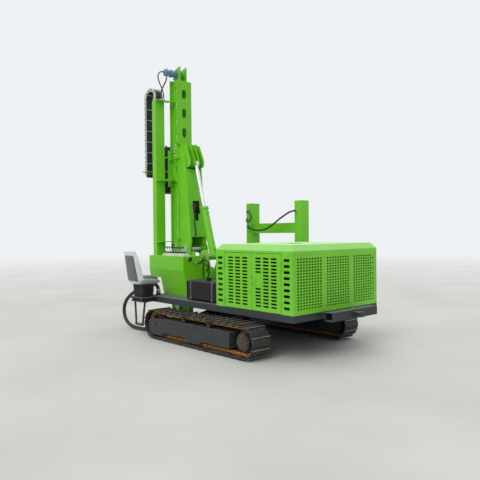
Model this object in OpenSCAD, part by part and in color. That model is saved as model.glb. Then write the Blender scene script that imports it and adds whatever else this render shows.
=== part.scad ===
// Crawler pile driver rig: tracked carrier, hood, mast frame with tilt cylinder, sliding mast and hammer.
// Millimetres. X is forward, Y is the machine's left, Z is up, and the ground is Z 0.

/* [Tracks] */
// Centre plane to the outer edge of a track
track_out = 1250; // [1200:5:1300]
// Width of a track shoe
shoe_w = 361; // [330:1:390]
// Sprocket axis to idler axis
wheel_base = 2280; // [2240:5:2340]
// Wheel axis to the tip of a grouser
track_r = 263.5; // [258:0.5:270]
// Height of a grouser
grouser_h = 25; // [15:1:28]
// Thickness of a shoe plate
shoe_t = 12; // [8:1:16]
// Distance from shoe to shoe
shoe_pitch = 156; // [152:1:165]
// Height of the track chain
link_h = 66; // [58:1:70]
// Thickness of one strand of the track chain
link_t = 34; // [26:1:40]
// Gap between the two strands of a track chain
link_gap = 66; // [56:1:76]
// Radius of a track roller
roller_r = 60; // [50:1:66]
// Rollers under one track frame
roller_count = 5; // [3:1:6]
// Distance from roller to roller
roller_pitch = 350; // [300:5:370]
// Thickness of the track frame's plates
frame_t = 15; // [10:1:20]
// Space between the two plates of a track frame
frame_gap = 260; // [240:1:280]
// Lower edge of the track frame
frame_low = 80; // [70:1:90]
// Upper edge of the track frame
frame_top = 360; // [340:1:372]
// Radius of the final drive's cover
drive_cover_r = 130; // [110:1:145]
// Radius of the final drive's hub
hub_r = 105; // [90:1:112]

/* [Carrier] */
// Half width of the deck
deck_half = 992; // [950:1:1010]
// Rear end of the deck
deck_rear = -1925; // [-1980:5:-1900]
// Front end of the deck
deck_front = 1700; // [1690:1:1720]
// Underside of the deck
deck_low = 600; // [590:1:610]
// Top of the deck
deck_top = 700; // [690:1:712]
// Thickness of the deck plate
deck_t = 12; // [8:1:16]
// Length of the bumper tube
bumper_len = 1080; // [900:10:1300]
// Depth of the bumper tube along the machine
bumper_d = 136; // [120:1:160]
// Height of the bumper tube
bumper_h = 125; // [100:1:130]
// Wall of the bumper tube
bumper_wall = 8; // [5:1:12]
// Space between the hood and the bumper tube
bumper_gap = 168; // [140:1:190]
// Bumper face to the centre of the tow pin
tow_reach = 73; // [70:1:100]
// Radius of the tow pin's bore
tow_r = 20.5; // [15:0.5:25]

/* [Hood] */
// Length of the engine hood
hood_len = 1623; // [1600:1:1640]
// Height of the hood's walls up to the eave
hood_wall_h = 880; // [860:1:900]
// Rise of the roof above the eave
roof_rise = 85; // [60:1:110]
// Width of the bevel round the roof
roof_bevel = 73; // [50:1:100]
// Height of the skirt under the eave
skirt_h = 35; // [25:1:50]
// Thickness of a door or post pan
pan_t = 28; // [20:1:34]
// Sheet thickness of the hood
sheet_t = 4; // [3:0.5:6]
// Width of the front post
post_front_w = 200; // [180:1:220]
// Width of the rear post
post_rear_w = 203; // [190:1:220]
// Gap round a door leaf
door_gap = 6; // [5:0.5:8]
// Radius of a hinge barrel
hinge_r = 8; // [6:0.5:10]
// Width and height of a door slot
door_slot = [114, 26];
// Distance from slot to slot on a door, across and up
door_pitch = [158, 49];
// Columns and rows of slots on a door
door_grid = [3, 15];
// Width and height of a post slot
post_slot = [115, 40];
// Distance from slot to slot on a post
post_pitch = 83; // [70:1:90]
// Slots on a post
post_slots = 9; // [5:1:9]
// Width and height of a hole in the rear grille
mesh_hole = [41, 24];
// Distance from hole to hole in the rear grille, across and up
mesh_pitch = [61, 40.5];
// Columns and rows of holes in one field of the rear grille
mesh_grid = [9, 18];
// Distance from field to field in the rear grille
mesh_field = 645; // [620:1:660]
// Radius of the exhaust outlet
exhaust_r = 90; // [60:1:110]
// Length of the engine block
engine_len = 900; // [700:10:1100]
// Width of the engine block
engine_w = 620; // [500:10:760]
// Height of the engine block
engine_h = 640; // [500:10:740]

/* [Tanks and console] */
// Front face of the fuel tank
fuel_front = 600; // [500:5:620]
// Length of the fuel tank
fuel_len = 780; // [700:5:790]
// Width of the fuel tank
fuel_w = 400; // [300:5:450]
// Height of the fuel tank
fuel_h = 321; // [260:1:360]
// Distance from the fuel tank's outer face to the edge of the deck
fuel_inset = 92; // [40:1:140]
// Radius of the fuel tank's edges
fuel_edge = 28; // [10:1:50]
// Rear face of the oil tank
oil_rear = 933; // [920:1:940]
// Front face of the oil tank
oil_front = 1690; // [1600:5:1700]
// Front end of the console
console_front = 2025; // [1950:5:2040]
// Outer face of the oil tank from the centre plane
oil_out = 720; // [700:1:760]
// Inner face of the oil tank from the centre plane
oil_in = 280; // [260:1:300]
// Top of the oil tank
oil_top = 1420; // [1380:1:1440]
// Height where the oil tank's side starts to slope in
oil_knee = 1170; // [1100:1:1200]
// Slope of the oil tank's side, measured at the deck
oil_slope = 100; // [60:1:140]
// Depth of the console
console_t = 150; // [120:1:165]
// Lower edge of the console in front of the tank
console_low = 1010; // [950:5:1100]
// Number of control levers
lever_count = 9; // [5:1:11]
// Distance from lever to lever
lever_pitch = 72; // [60:1:75]
// Length of a control lever
lever_len = 105; // [80:1:130]

/* [Seat and step] */
// Middle of the seat along the machine
seat_x = 1580; // [1560:1:1600]
// Distance from the edge of the deck to the middle of the seat's bellows
seat_reach = 148; // [142:1:165]
// Width of the seat
seat_w = 480; // [440:1:500]
// Height of the seat's bellows
bellows_h = 190; // [150:1:220]
// Folds in the seat's bellows
bellows_folds = 7; // [5:1:9]
// Top of the cushion
cushion_top = 1090; // [1060:1:1120]
// Top of the backrest
back_top = 1525; // [1480:1:1560]
// Width of the step at its top
step_w = 520; // [480:1:540]
// Diameter of the step's tube
step_d = 36; // [28:1:44]
// Tread of the step above the ground
step_low = 190; // [160:1:260]

/* [Right side posts] */
// Width of a side post along the machine
rack_post_w = 162; // [140:1:180]
// Depth of a side post
rack_post_d = 210; // [180:1:230]
// Wall of a side post
rack_wall = 10; // [6:1:14]
// Top of the side posts
rack_top = 2420; // [2300:10:2500]
// Middle of the rear side post
rack_rear_x = -240; // [-250:1:-220]
// Middle of the front side post
rack_front_x = 1057; // [1000:1:1100]
// Lower edge of the crossbar
bar_low = 1825; // [1780:5:1900]
// Height of the crossbar
bar_h = 190; // [150:5:220]

/* [Mast base and tilt] */
// Tilt pivot, along the machine
tilt_x = 1525; // [1515:1:1535]
// Tilt pivot above the ground
tilt_z = 1535.5; // [1530:0.5:1545]
// Foot of the tilt cylinder, along the machine
foot_x = 957; // [950:1:965]
// Foot of the tilt cylinder above the ground
foot_z = 1406; // [1400:1:1412]
// Eye of the cylinder's rod, along the machine
eye_x = 1475; // [1470:1:1480]
// Eye of the cylinder's rod above the ground
eye_z = 3186; // [3180:1:3192]
// Rear and front ends of the mast base plates on the deck
base_x = [770, 1665];
// Depth of the dip between the two lugs, below the tilt pivot
base_dip = 335.5; // [300:0.5:380]
// Length of the dip
base_dip_len = 150; // [120:1:200]
// Height of the cross webs between the plates
base_web_h = 260; // [200:5:300]
// Thickness of a mast base plate
base_t = 30; // [20:1:34]
// Space between the mast base plates
base_gap = 400; // [390:1:420]
// Radius of the lugs on the mast base plates
lug_r = 120; // [105:1:125]
// Radius of the tilt pin
tilt_pin_r = 45; // [35:1:52]
// Radius of the cylinder's foot pin
foot_pin_r = 36; // [28:1:42]
// Running clearance of a pin in its bore
pin_fit = 0.05; // [0.02:0.01:0.1]
// Radius of the cylinder barrel
barrel_r = 68; // [60:1:74]
// Radius of the cylinder's bore
barrel_bore = 52; // [44:1:56]
// Length of the cylinder from its foot to its gland
barrel_len = 960; // [900:5:1000]
// Radius of the cylinder's rod
rod_r = 40; // [30:1:43]
// Length of the rod from its eye to its piston
rod_len = 1010; // [1000:5:1025]
// Length of the cylinder's gland
gland_len = 28; // [20:1:34]
// Length of the piston
piston_len = 40; // [30:1:50]
// Radius of the rod's eye
rod_eye_r = 58; // [50:1:62]
// Width of the rod's eye
rod_eye_w = 64; // [50:1:70]

/* [Mast frame] */
// Width of the mast frame's box
mf_w = 380; // [360:1:388]
// Thickness of the mast frame's plates
mf_t = 20; // [14:1:24]
// Width of the mast frame's front plate
mf_front_w = 420; // [400:1:430]
// Lower end of the mast frame's front plate
mf_low = 1450; // [1440:1:1470]
// Top of the mast frame
mf_top = 3600; // [3560:5:3640]
// Height of the upper collar
collar_upper_h = 300; // [260:5:330]
// Lower edge of the lower collar
collar_low = 1536; // [1520:1:1560]
// Height of the lower collar
collar_lower_h = 196; // [160:1:220]
// Thickness of a collar's cheek
cheek_t = 40; // [30:1:46]
// Clearance round the sliding mast
mast_clear = 6; // [5:0.5:7]
// Clearance of the mast in its slide pads
pad_fit = 0.5; // [0.3:0.1:1]
// Cut-out in the frame's rear plate, across and up
window = [170, 250];
// Lower edge of the frame's cut-out
window_z = 2210; // [2150:5:2300]

/* [Mast] */
// Rear face of the mast
mast_x = 1830; // [1828:1:1834]
// Depth of the mast
mast_d = 200; // [196:1:204]
// Lower end of the mast
mast_low = 110; // [100:1:130]
// Top of the mast
mast_top = 4850; // [4800:5:4880]
// Width of the mast's rear plate
web_w = 356; // [350:1:360]
// Thickness of the mast's rear plate
web_t = 20; // [16:1:22]
// Distance between the outer faces of the mast's side plates
mast_w = 300; // [290:1:304]
// Thickness of the mast's side plates
mast_t = 15; // [10:1:18]
// Width across the mast's front guides
guide_w = 410; // [400:1:416]
// Thickness of the mast's front guides
guide_t = 18; // [14:1:22]
// Opening between the mast's front guides
guide_open = 180; // [160:1:200]
// Width and height of an oval in the mast's rear plate
oval = [116, 187];
// Distance from oval to oval
oval_pitch = 381; // [340:1:420]
// Highest oval in the mast's rear plate
oval_top = 4590; // [4560:1:4620]
// Width and height of a slot in the mast's side plates
side_slot = [40, 130];
// Distance from slot to slot in the mast's side plates
side_slot_pitch = 310; // [280:1:340]
// Height of the head plates above the mast
head_rise = 285; // [265:5:330]
// Thickness of the head plates
head_t = 20; // [14:1:26]
// Outer faces of the two head plates
head_w = 170; // [150:1:178]
// Height of the chain sprocket's axis above the mast
head_axis_rise = 140; // [125:1:160]
// Radius of the chain sprocket
head_sprocket_r = 95; // [80:1:100]
// Radius of the hoist motor
motor_r = 60; // [50:1:70]
// Length of the hoist motor with its gearbox
motor_len = 270; // [240:1:300]
// Length of the hoist motor's gearbox
gearbox_len = 120; // [100:1:130]
// Front end of the mast's foot, behind the pile's path
foot_front = 2225; // [2180:5:2230]

/* [Hose trough and energy chain] */
// Inner side of the trough from the centre plane
trough_in = 340; // [330:1:350]
// Width of the trough
trough_w = 200; // [190:1:210]
// Depth of the trough
trough_d = 125; // [110:1:140]
// Lower end of the trough
trough_low = 1300; // [1290:5:1320]
// Top of the trough
trough_top = 4430; // [4380:5:4460]
// Wall of the trough
trough_t = 8; // [5:1:12]
// Outer width of the energy chain's loop
chain_loop = 400; // [390:1:410]
// Height of an energy chain link
chain_h = 60; // [50:1:70]
// Side clearance of the energy chain in its trough
chain_side = 14; // [10:1:18]
// Lower end of the energy chain's outer leg
chain_out_low = 3000; // [2980:5:3020]
// Lower end of the energy chain's inner leg
chain_in_low = 2900; // [2880:5:2940]
// Middle of the energy chain's bend
chain_bend_z = 4500; // [4480:5:4520]
// Distance from crossbar to crossbar on the energy chain
chain_bar_pitch = 214; // [190:1:240]

/* [Carriage and hammer] */
// Lower end of the carriage
carriage_low = 2760; // [2740:5:2800]
// Top of the carriage
carriage_top = 3480; // [3440:5:3520]
// Thickness of the carriage's plate
carriage_t = 30; // [22:1:36]
// Thickness of the carriage's cheeks
carriage_cheek = 26; // [20:1:30]
// Height of one guide shoe of the carriage
guide_shoe_h = 180; // [140:1:220]
// Axis of the hammer, along the machine
hammer_x = 2383; // [2370:1:2400]
// Radius of the hammer's housing
hammer_r = 150; // [130:1:165]
// Lower end of the hammer's housing
hammer_low = 2850; // [2830:5:2880]
// Top of the hammer's housing
hammer_top = 3550; // [3500:5:3600]
// Radius of the hammer's drive cap
cap_r = 200; // [185:1:210]
// Height of the hammer's drive cap
cap_h = 190; // [170:1:210]
// Radius of the socket for the pile
socket_r = 140; // [110:1:160]
// Depth of the socket for the pile
socket_d = 120; // [90:1:140]

/* [Hidden] */
$fn = 48;

green = [0.36, 0.72, 0.20];
slate = [0.20, 0.23, 0.25];
black = [0.06, 0.06, 0.06];
steel = [0.62, 0.63, 0.65];
white = [0.86, 0.88, 0.88];

seat_gap = 0.3;
shoe_y = track_out - shoe_w / 2;
half_base = wheel_base / 2;
plate_r = track_r - grouser_h - shoe_t;
link_r = plate_r - link_h;
belt_len = 2 * wheel_base + 2 * PI * plate_r;
shoe_n = 2 * round(belt_len / shoe_pitch / 2);
pitch = belt_len / shoe_n;
link_top = track_r - link_r;
strand_out = link_gap / 2 + link_t;
plate_out = frame_gap / 2 + frame_t;
roller_z = link_top + seat_gap + roller_r;
carrier_r = (track_r + link_r - seat_gap - frame_top - 3) / 2;
carrier_z = track_r + link_r - seat_gap - carrier_r;
carrier_x = [346, -308];
window_x = [[-850, -131], [194, 896]];
frame_rear = -850;
frame_front = half_base + 156;
car_rear = -520;
car_front = 560;
car_half = 470;
car_h = 330;
ring_h = 45;
beam_w = 160;

hood_rear = deck_rear;
hood_front_x = hood_rear + hood_len;
eave = deck_top + hood_wall_h;
wall_top = eave - skirt_h;
hood_half = deck_half - 0.5;
rear_sheet = 20;
front_sheet = 20;
door_rear_end = hood_rear + rear_sheet + post_rear_w;
door_front_end = hood_front_x - post_front_w;
leaf = (door_front_end - door_rear_end - 3 * door_gap) / 2;
hinge_y = hood_half + hinge_r + 0.5;
bumper_rear = hood_rear - bumper_gap - bumper_d;
bumper_z = deck_low;
tow_x = bumper_rear - tow_reach;
tow_lug_r = 60;
engine_x = hood_rear + 275;

fuel_z = deck_top + 16;
fuel_out = deck_half - fuel_inset;
seat_y = deck_half + seat_reach;
strap_t = 4;
strap_x = [fuel_front - fuel_len * 0.87, fuel_front - fuel_len * 0.15];

base_out = base_gap / 2 + base_t;
cyl_len = norm([eye_x - foot_x, eye_z - foot_z]);
cyl_angle = atan2(eye_z - foot_z, eye_x - foot_x);
mf_half = mf_w / 2;
collar_in = web_w / 2 + mast_clear;
collar_out = collar_in + cheek_t;
mf_face = mast_x - mast_clear - 34;
lip_x = mast_x + web_t + mast_clear;
lip_in = mast_w / 2 + mast_clear;
lip_t = 44;
gusset_y = [50, 160];
gusset_t = 16;

guide_x = mast_x + mast_d;
bracket_x = [lip_x + lip_t + 20, guide_x - guide_t - 30];
hook_x = guide_x - guide_t - mast_clear;
hook_t = 20;
carriage_x = guide_x + 10;
carriage_in = guide_w / 2 + mast_clear;
carriage_out = carriage_in + carriage_cheek;
hammer_flange = 28;
hammer_nut = 24;
head_x = mast_x + 150;
head_top = mast_top + head_rise;
head_axis_z = mast_top + head_axis_rise;

trough_x = guide_x;
trough_out = trough_in + trough_w;
chain_in = trough_in + chain_side;
chain_out = trough_out - chain_side;
chain_pad = 12;
chain_x0 = trough_x + trough_t + chain_pad + pad_fit;
chain_x1 = chain_x0 + chain_loop;
arm_z = chain_out_low + 60;
arm_t = 16;

track_outer_x = half_base + track_r;
front_x = hammer_x + cap_r;
rear_x = tow_x - tow_lug_r;
seat_back_y = seat_y + 315;
box_cx = (front_x + rear_x) / 2;
box_cy = (seat_back_y - track_out) / 2;

// Routes of the free hoses, in machine coordinates
loop_route = [
    [1570, 830, 742.3], [1570, 830, 795], [1588, 831, 842], [1636, 836, 880], [1712, 845, 900],
    [1796, 858, 898], [1884, 882, 872], [1980, 915, 826], [2110, 952, 755], [2270, 985, 665],
    [2420, 1000, 545], [2510, 1000, 395], [2495, 1000, 235], [2390, 995, 115], [2220, 985, 55],
    [2020, 965, 42], [1800, 925, 42], [1580, 850, 55], [1370, 740, 100], [1150, 600, 185],
    [950, 485, 285], [830, 425, 350], [740, 396, 393], [670, 390, 410], [620.3, 390, 410]
];
rack_route = [
    [1020, -1019.7, 1960], [1020, -985, 1960], [1008, -935, 1955], [975, -893, 1945], [925, -868, 1930],
    [860, -862, 1912], [740, -870, 1885], [600, -880, 1880], [460, -885, 1905], [330, -885, 1955],
    [210, -884, 2020], [90, -882, 2090], [-30, -882, 2150], [-120, -890, 2195], [-180, -918, 2222],
    [-208, -958, 2231], [-215, -990, 2232], [-215, -1019.7, 2232]
];
ring_route = [
    [1075, -1019.7, 2235], [1075, -987, 2235], [1055, -950, 2250], [1010, -932, 2262], [950, -925, 2245],
    [910, -922, 2200], [898, -920, 2145], [915, -920, 2090], [960, -922, 2055], [1015, -930, 2050],
    [1060, -948, 2070], [1082, -972, 2105], [1086, -995, 2122], [1086, -1019.7, 2122]
];
head_route_a = [
    [2000, 300, 4929.7], [2000, 300, 4895], [2001, 312, 4835], [2002, 345, 4770], [2002, 385, 4700],
    [2000, 418, 4630], [1997, 433, 4560], [1995, 437, 4500], [1995, 437, 4430.3]
];
head_route_b = [
    [1965, 355.3, 4990], [1965, 395, 4990], [1965, 440, 4982], [1965, 485, 4958], [1965, 512, 4918],
    [1965, 520, 4865], [1965, 507, 4805], [1965, 476, 4738], [1966, 440, 4670], [1966, 412, 4605],
    [1966, 396, 4545], [1966, 390, 4490], [1966, 390, 4430.3]
];
frame_route = [
    [1470.8, 104, 2400], [1439, 104, 2403.3], [1405, 106, 2390], [1382, 109, 2355], [1374, 112, 2300],
    [1374, 114, 2220], [1374, 116, 2140], [1372, 117, 2060], [1366, 118, 1980], [1358, 117, 1910],
    [1350, 115, 1860], [1350, 112, 1825], [1364, 110, 1801], [1383.9, 110, 1792.5], [1407.8, 110, 1790]
];
foot_route_a = [
    [932.7, 340, 1330], [900, 340, 1330], [840, 338, 1345], [780, 331, 1345], [738, 320, 1310],
    [725, 308, 1255], [745, 296, 1200], [794, 286, 1166], [838, 272, 1160], [862, 256, 1158],
    [862, 230.3, 1158]
];
foot_route_b = [
    [932.7, 430, 1290], [900, 430, 1290], [840, 426, 1300], [770, 412, 1305], [710, 390, 1280],
    [682, 362, 1220], [690, 330, 1140], [740, 300, 1070], [800, 278, 1038], [840, 260, 1035],
    [840, 230.3, 1035]
];

// A box between two corners given by ranges
module block(x, y, z)
    translate([x[0], y[0], z[0]]) cube([x[1] - x[0], y[1] - y[0], z[1] - z[0]]);

// A profile in X and Z, extruded between two values of Y
module along_y(y) translate([0, y[1], 0]) rotate([90, 0, 0]) linear_extrude(y[1] - y[0]) children();

// A profile in Y and Z, extruded between two values of X
module along_x(x) translate([x[0], 0, 0]) rotate([90, 0, 90]) linear_extrude(x[1] - x[0]) children();

// A profile in X and Y, extruded between two values of Z
module along_z(z) translate([0, 0, z[0]]) linear_extrude(z[1] - z[0]) children();

// A cylinder along Y
module rod_y(x, z, y, r) translate([x, y[1], z]) rotate([90, 0, 0]) cylinder(h = y[1] - y[0], r = r);

module both_sides() {
    children();
    mirror([0, 1, 0]) children();
}

// The left side's parts, or their mirror image on the right
module on_side(left) {
    if (left) children();
    else mirror([0, 1, 0]) children();
}

// A slot with round ends, its longer size along its longer side
module slot(size) {
    w = size[0];
    h = size[1];
    r = min(w, h) / 2;
    square([w > h ? w - h : w, w > h ? h : h - w], center = true);
    for (s = [-1, 1])
        translate(w > h ? [s * (w - h) / 2, 0] : [0, s * (h - w) / 2]) circle(r = r, $fn = 24);
}

// A rectangle with round corners between two ranges
module round_rect(x, y, r) {
    translate([x[0] + r, y[0]]) square([x[1] - x[0] - 2 * r, y[1] - y[0]]);
    translate([x[0], y[0] + r]) square([x[1] - x[0], y[1] - y[0] - 2 * r]);
    for (cx = [x[0] + r, x[1] - r], cy = [y[0] + r, y[1] - r]) translate([cx, cy]) circle(r = r);
}

// Sweeps a tube along a route: each ring stands square to the mean direction of its two neighbours
function unit(v) = v / norm(v);
function heading(p, i) =
    i == 0 ? unit(p[1] - p[0])
    : i == len(p) - 1 ? unit(p[i] - p[i - 1])
    : unit(unit(p[i + 1] - p[i]) + unit(p[i] - p[i - 1]));
function square_to(n, t) = unit(n - (n * t) * t);
function carried(p, i, n0) =
    i == 0 ? square_to(n0, heading(p, 0)) : square_to(carried(p, i - 1, n0), heading(p, i));
module tube(p, r, n0 = [0.3, 0.9, 0.2], sides = 8) {
    last = len(p) - 1;
    points = [
        for (i = [0 : last])
            let (t = heading(p, i), n = carried(p, i, n0), b = cross(t, n))
            for (k = [0 : sides - 1]) p[i] + r * (cos(360 * k / sides) * n + sin(360 * k / sides) * b)
    ];
    faces = concat(
        [[for (k = [0 : sides - 1]) k]],
        [
            for (i = [0 : last - 1], k = [0 : sides - 1])
                let (a = i * sides + k, b = i * sides + (k + 1) % sides)
                [a, a + sides, b + sides, b]
        ],
        [[for (k = [sides - 1 : -1 : 0]) last * sides + k]]
    );
    polyhedron(points, faces, convexity = 6);
}

// A point on the track loop: s along it from the bottom centre, a along the shoe, n outward
function loop_point(s, a, n) =
    let (
        arc = PI * plate_r,
        t = (s + belt_len) % belt_len,
        u1 = t - half_base,
        u2 = u1 - arc,
        u3 = u2 - wheel_base,
        u4 = u3 - arc,
        turn = u1 < 0 ? 0 : u2 < 0 ? u1 / plate_r * 180 / PI : u3 < 0 ? 180
            : u4 < 0 ? 180 + u3 / plate_r * 180 / PI : 360,
        c = u1 < 0 ? t : u2 < 0 ? half_base : u3 < 0 ? half_base - u2 : u4 < 0 ? -half_base : u4 - half_base
    )
    [
        c + (plate_r + n) * sin(turn) + a * cos(turn),
        track_r - (plate_r + n) * cos(turn) + a * sin(turn)
    ];

// One shoe's outer outline as columns a and n: joint groove, plate, grouser, plate
shoe_shape = [
    [-pitch / 2 + 1, shoe_t * 0.35], [-pitch / 2 + 4, shoe_t], [-9, shoe_t], [-5, shoe_t + grouser_h],
    [5, shoe_t + grouser_h], [9, shoe_t], [pitch / 2 - 4, shoe_t]
];
// One link's inner outline as columns of distance along the loop and height
link_shape = [[-0.36 * pitch, -link_h], [0.36 * pitch, -link_h], [0.5 * pitch, -link_h + 16]];

module track(left) color(slate) on_side(left) {
    joints = [for (i = [0 : shoe_n - 1]) loop_point(i * pitch, pitch / 2, 1)];
    along_y([shoe_y - shoe_w / 2, shoe_y + shoe_w / 2]) difference() {
        polygon([for (i = [0 : shoe_n - 1], p = shoe_shape) loop_point(i * pitch, p[0], p[1])]);
        polygon([for (i = [0 : shoe_n - 1]) loop_point(i * pitch, pitch / 2, 0)]);
    }
    for (y = [shoe_y - strand_out, shoe_y + link_gap / 2])
        along_y([y, y + link_t]) difference() {
            polygon(joints);
            polygon([for (i = [0 : shoe_n - 1], p = link_shape) loop_point(i * pitch + p[0], 0, p[1])]);
        }
}

module track_frame(left) color(slate) on_side(left) {
    outer = shoe_y + frame_gap / 2;
    inner = shoe_y - frame_gap / 2;
    // Outer plate with its two windows along the lower edge
    along_y([outer, outer + frame_t]) difference() {
        polygon([
            [frame_rear, frame_low], [frame_front - 70, frame_low], [frame_front, frame_low + 70],
            [frame_front, frame_top - 60], [frame_front - 60, frame_top], [frame_rear, frame_top]
        ]);
        for (w = window_x)
            polygon([
                [w[0] - (w == window_x[0] ? 1 : 0), frame_low - 1], [w[1], frame_low - 1],
                [w[1] - 40, frame_low + 50], [w[0] + (w == window_x[0] ? -1 : 40), frame_low + 50]
            ]);
    }
    // Inner plate, which carries the final drive
    along_y([inner - frame_t, inner]) {
        polygon([
            [frame_rear, frame_low + 40], [frame_front - 70, frame_low], [frame_front, frame_low + 70],
            [frame_front, frame_top - 60], [frame_front - 60, frame_top], [frame_rear, frame_top]
        ]);
        translate([-half_base, track_r]) circle(r = drive_cover_r + 10);
        polygon([
            [-half_base, track_r - drive_cover_r], [frame_rear + 1, frame_low + 40],
            [frame_rear + 1, frame_top], [-half_base, track_r + drive_cover_r]
        ]);
    }
    // Top plate up to the idler, and the closed rear end
    block([frame_rear, half_base - 180], [inner - 1, outer + 1], [frame_top - frame_t, frame_top]);
    block([frame_rear, frame_rear + frame_t], [inner - 1, outer + 1], [frame_low + 50, frame_top]);
    // Lugs that hold the carrier rollers
    for (x = carrier_x, y = [shoe_y - strand_out - 34, shoe_y + strand_out + 14])
        along_y([y, y + 20]) {
            translate([x - 45, frame_top - 1]) square([90, carrier_z - frame_top + 42]);
            translate([x, carrier_z + 41]) circle(r = 45);
        }
}

module track_wheels(left) color(slate) on_side(left) translate([0, shoe_y, 0]) {
    shaft = frame_gap / 2;
    for (i = [0 : roller_count - 1]) {
        x = (i - (roller_count - 1) / 2) * roller_pitch;
        rod_y(x, roller_z, [-strand_out - 2, strand_out + 2], roller_r);
        for (s = [-1, 1])
            rod_y(x, roller_z, s > 0 ? [strand_out + 2, strand_out + 14] : [-strand_out - 14, -strand_out - 2],
                  roller_r + 12);
        rod_y(x, roller_z, [-shaft, shaft], 20);
    }
    for (x = carrier_x) rod_y(x, carrier_z, [-strand_out - 14, strand_out + 14], carrier_r);
    // Idler: a spoked rim with a guide flange between the strands
    idler_r = link_r * cos(0.36 * pitch / plate_r * 180 / PI) - seat_gap;
    difference() {
        union() {
            rod_y(half_base, track_r, [-strand_out, strand_out], idler_r);
            rod_y(half_base, track_r, [-link_gap / 2 + 4, link_gap / 2 - 4], idler_r + 34);
        }
        for (s = [-1, 1])
            difference() {
                rod_y(half_base, track_r, s > 0 ? [16, strand_out + 1] : [-strand_out - 1, -16], idler_r - 26);
                rod_y(half_base, track_r, [-strand_out - 2, strand_out + 2], 55);
            }
    }
    rod_y(half_base, track_r, [-shaft, shaft], 32);
}

module sprocket(left) color(slate) on_side(left) translate([0, shoe_y, 0]) {
    teeth = 20;
    tooth_r = plate_r - 14;
    // Ring with teeth between the strands of the chain
    along_y([-link_gap / 2 + 8, link_gap / 2 - 8])
        translate([-half_base, track_r]) polygon([
            for (i = [0 : teeth - 1], k = [[-0.32, -34], [-0.14, 0], [0.14, 0], [0.32, -34]])
                (tooth_r + k[1]) * [cos(360 * (i + k[0]) / teeth), sin(360 * (i + k[0]) / teeth)]
        ]);
    rod_y(-half_base, track_r, [-frame_gap / 2, plate_out - 25], hub_r);
    rod_y(-half_base, track_r, [plate_out - 42, plate_out - 10], drive_cover_r);
    rod_y(-half_base, track_r, [plate_out - 10, plate_out], drive_cover_r - 22);
}

module car_body() color(slate) {
    low = deck_low - car_h;
    top = deck_low - ring_h;
    inner = shoe_y - plate_out;
    beam_half = beam_w / 2;
    along_y([-car_half, car_half]) polygon([
        [car_rear, low + 60], [car_rear + 70, low], [car_front - 70, low], [car_front, low + 60],
        [car_front, top], [car_rear, top]
    ]);
    // Cross beams to the two track frames
    for (x = carrier_x) both_sides() along_x([x - beam_half, x + beam_half]) polygon([
        [car_half - 1, low + 20], [inner, frame_top - beam_w], [inner, frame_top - 20],
        [inner - beam_w * 0.6, top - 85], [car_half - 1, top - 20]
    ]);
    translate([20, 0, top - 1]) cylinder(h = deck_low - top + 1, r = 440);
    // Ports for the loop hose
    port = loop_route[len(loop_route) - 1];
    translate([car_front, port[1], port[2]]) rotate([0, 90, 0]) cylinder(h = port[0] - car_front, r = 44);
}

module deck() color(slate) {
    rail_t = 12;
    block([deck_rear, deck_front], [-deck_half, deck_half], [deck_top - deck_t, deck_top]);
    // Rails round the edge with their lower lips
    both_sides() {
        block([deck_rear, deck_front], [deck_half - rail_t, deck_half], [deck_low, deck_top - 1]);
        block([deck_rear, deck_front], [deck_half - 60, deck_half - 1], [deck_low, deck_low + rail_t]);
    }
    for (x = [deck_rear, deck_front - rail_t])
        block([x, x + rail_t], [-deck_half + 1, deck_half - 1], [deck_low, deck_top - 1]);
    // Main beams and cross members
    both_sides() block([deck_rear + 1, deck_front - 1], [300, 330], [deck_low, deck_top - 1]);
    for (x = [-1500, -980, -420, 20, 460, 900, 1320])
        block([x - 8, x + 8], [-deck_half + 1, deck_half - 1], [deck_low + 14, deck_top - 1]);
    // Gland of the loop hose
    gland = loop_route[0];
    translate([gland[0], gland[1], deck_top - 1]) cylinder(h = gland[2] - deck_top + 1, r = 44);
}

module bumper() color(slate) {
    z = [bumper_z, bumper_z + bumper_h];
    half = bumper_len / 2;
    along_y([-half, half]) difference() {
        translate([bumper_rear, z[0]]) square([bumper_d, bumper_h]);
        translate([bumper_rear + bumper_wall, z[0] + bumper_wall])
            square([bumper_d - 2 * bumper_wall, bumper_h - 2 * bumper_wall]);
    }
    both_sides() block([bumper_rear + bumper_d - 1, hood_rear], [300, 390], [z[0] + 8, deck_top - 10]);
    // Two lug plates with the tow pin's bore
    for (low = [z[0] + 28, z[0] + 80]) along_z([low, low + 18]) difference() {
        union() {
            translate([tow_x, -tow_lug_r]) square([bumper_rear - tow_x + 1, 2 * tow_lug_r]);
            translate([tow_x, 0]) circle(r = tow_lug_r);
        }
        translate([tow_x, 0]) circle(r = tow_r);
    }
}

module engine() color(slate) {
    half = engine_w / 2;
    x = [engine_x, engine_x + engine_len];
    along_y([-half, half]) polygon([
        [x[0], deck_top], [x[1], deck_top], [x[1], deck_top + engine_h * 0.8],
        [x[1] - 160, deck_top + engine_h], [x[0] + 120, deck_top + engine_h], [x[0], deck_top + engine_h * 0.7]
    ]);
}

// A sheet pan: outer skin with a rim behind, and slots through the skin
module pan(x, z) {
    rim = 14;
    difference() {
        block(x, [hood_half - pan_t, hood_half], z);
        block([x[0] + rim, x[1] - rim], [hood_half - pan_t - 1, hood_half - sheet_t], [z[0] + rim, z[1] - rim]);
        along_y([hood_half - sheet_t - 1, hood_half + 1]) children();
    }
}

module post_slots_at(x, z)
    for (i = [0 : post_slots - 1])
        translate([x, z + (i - (post_slots - 1) / 2) * post_pitch]) slot(post_slot);

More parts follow.
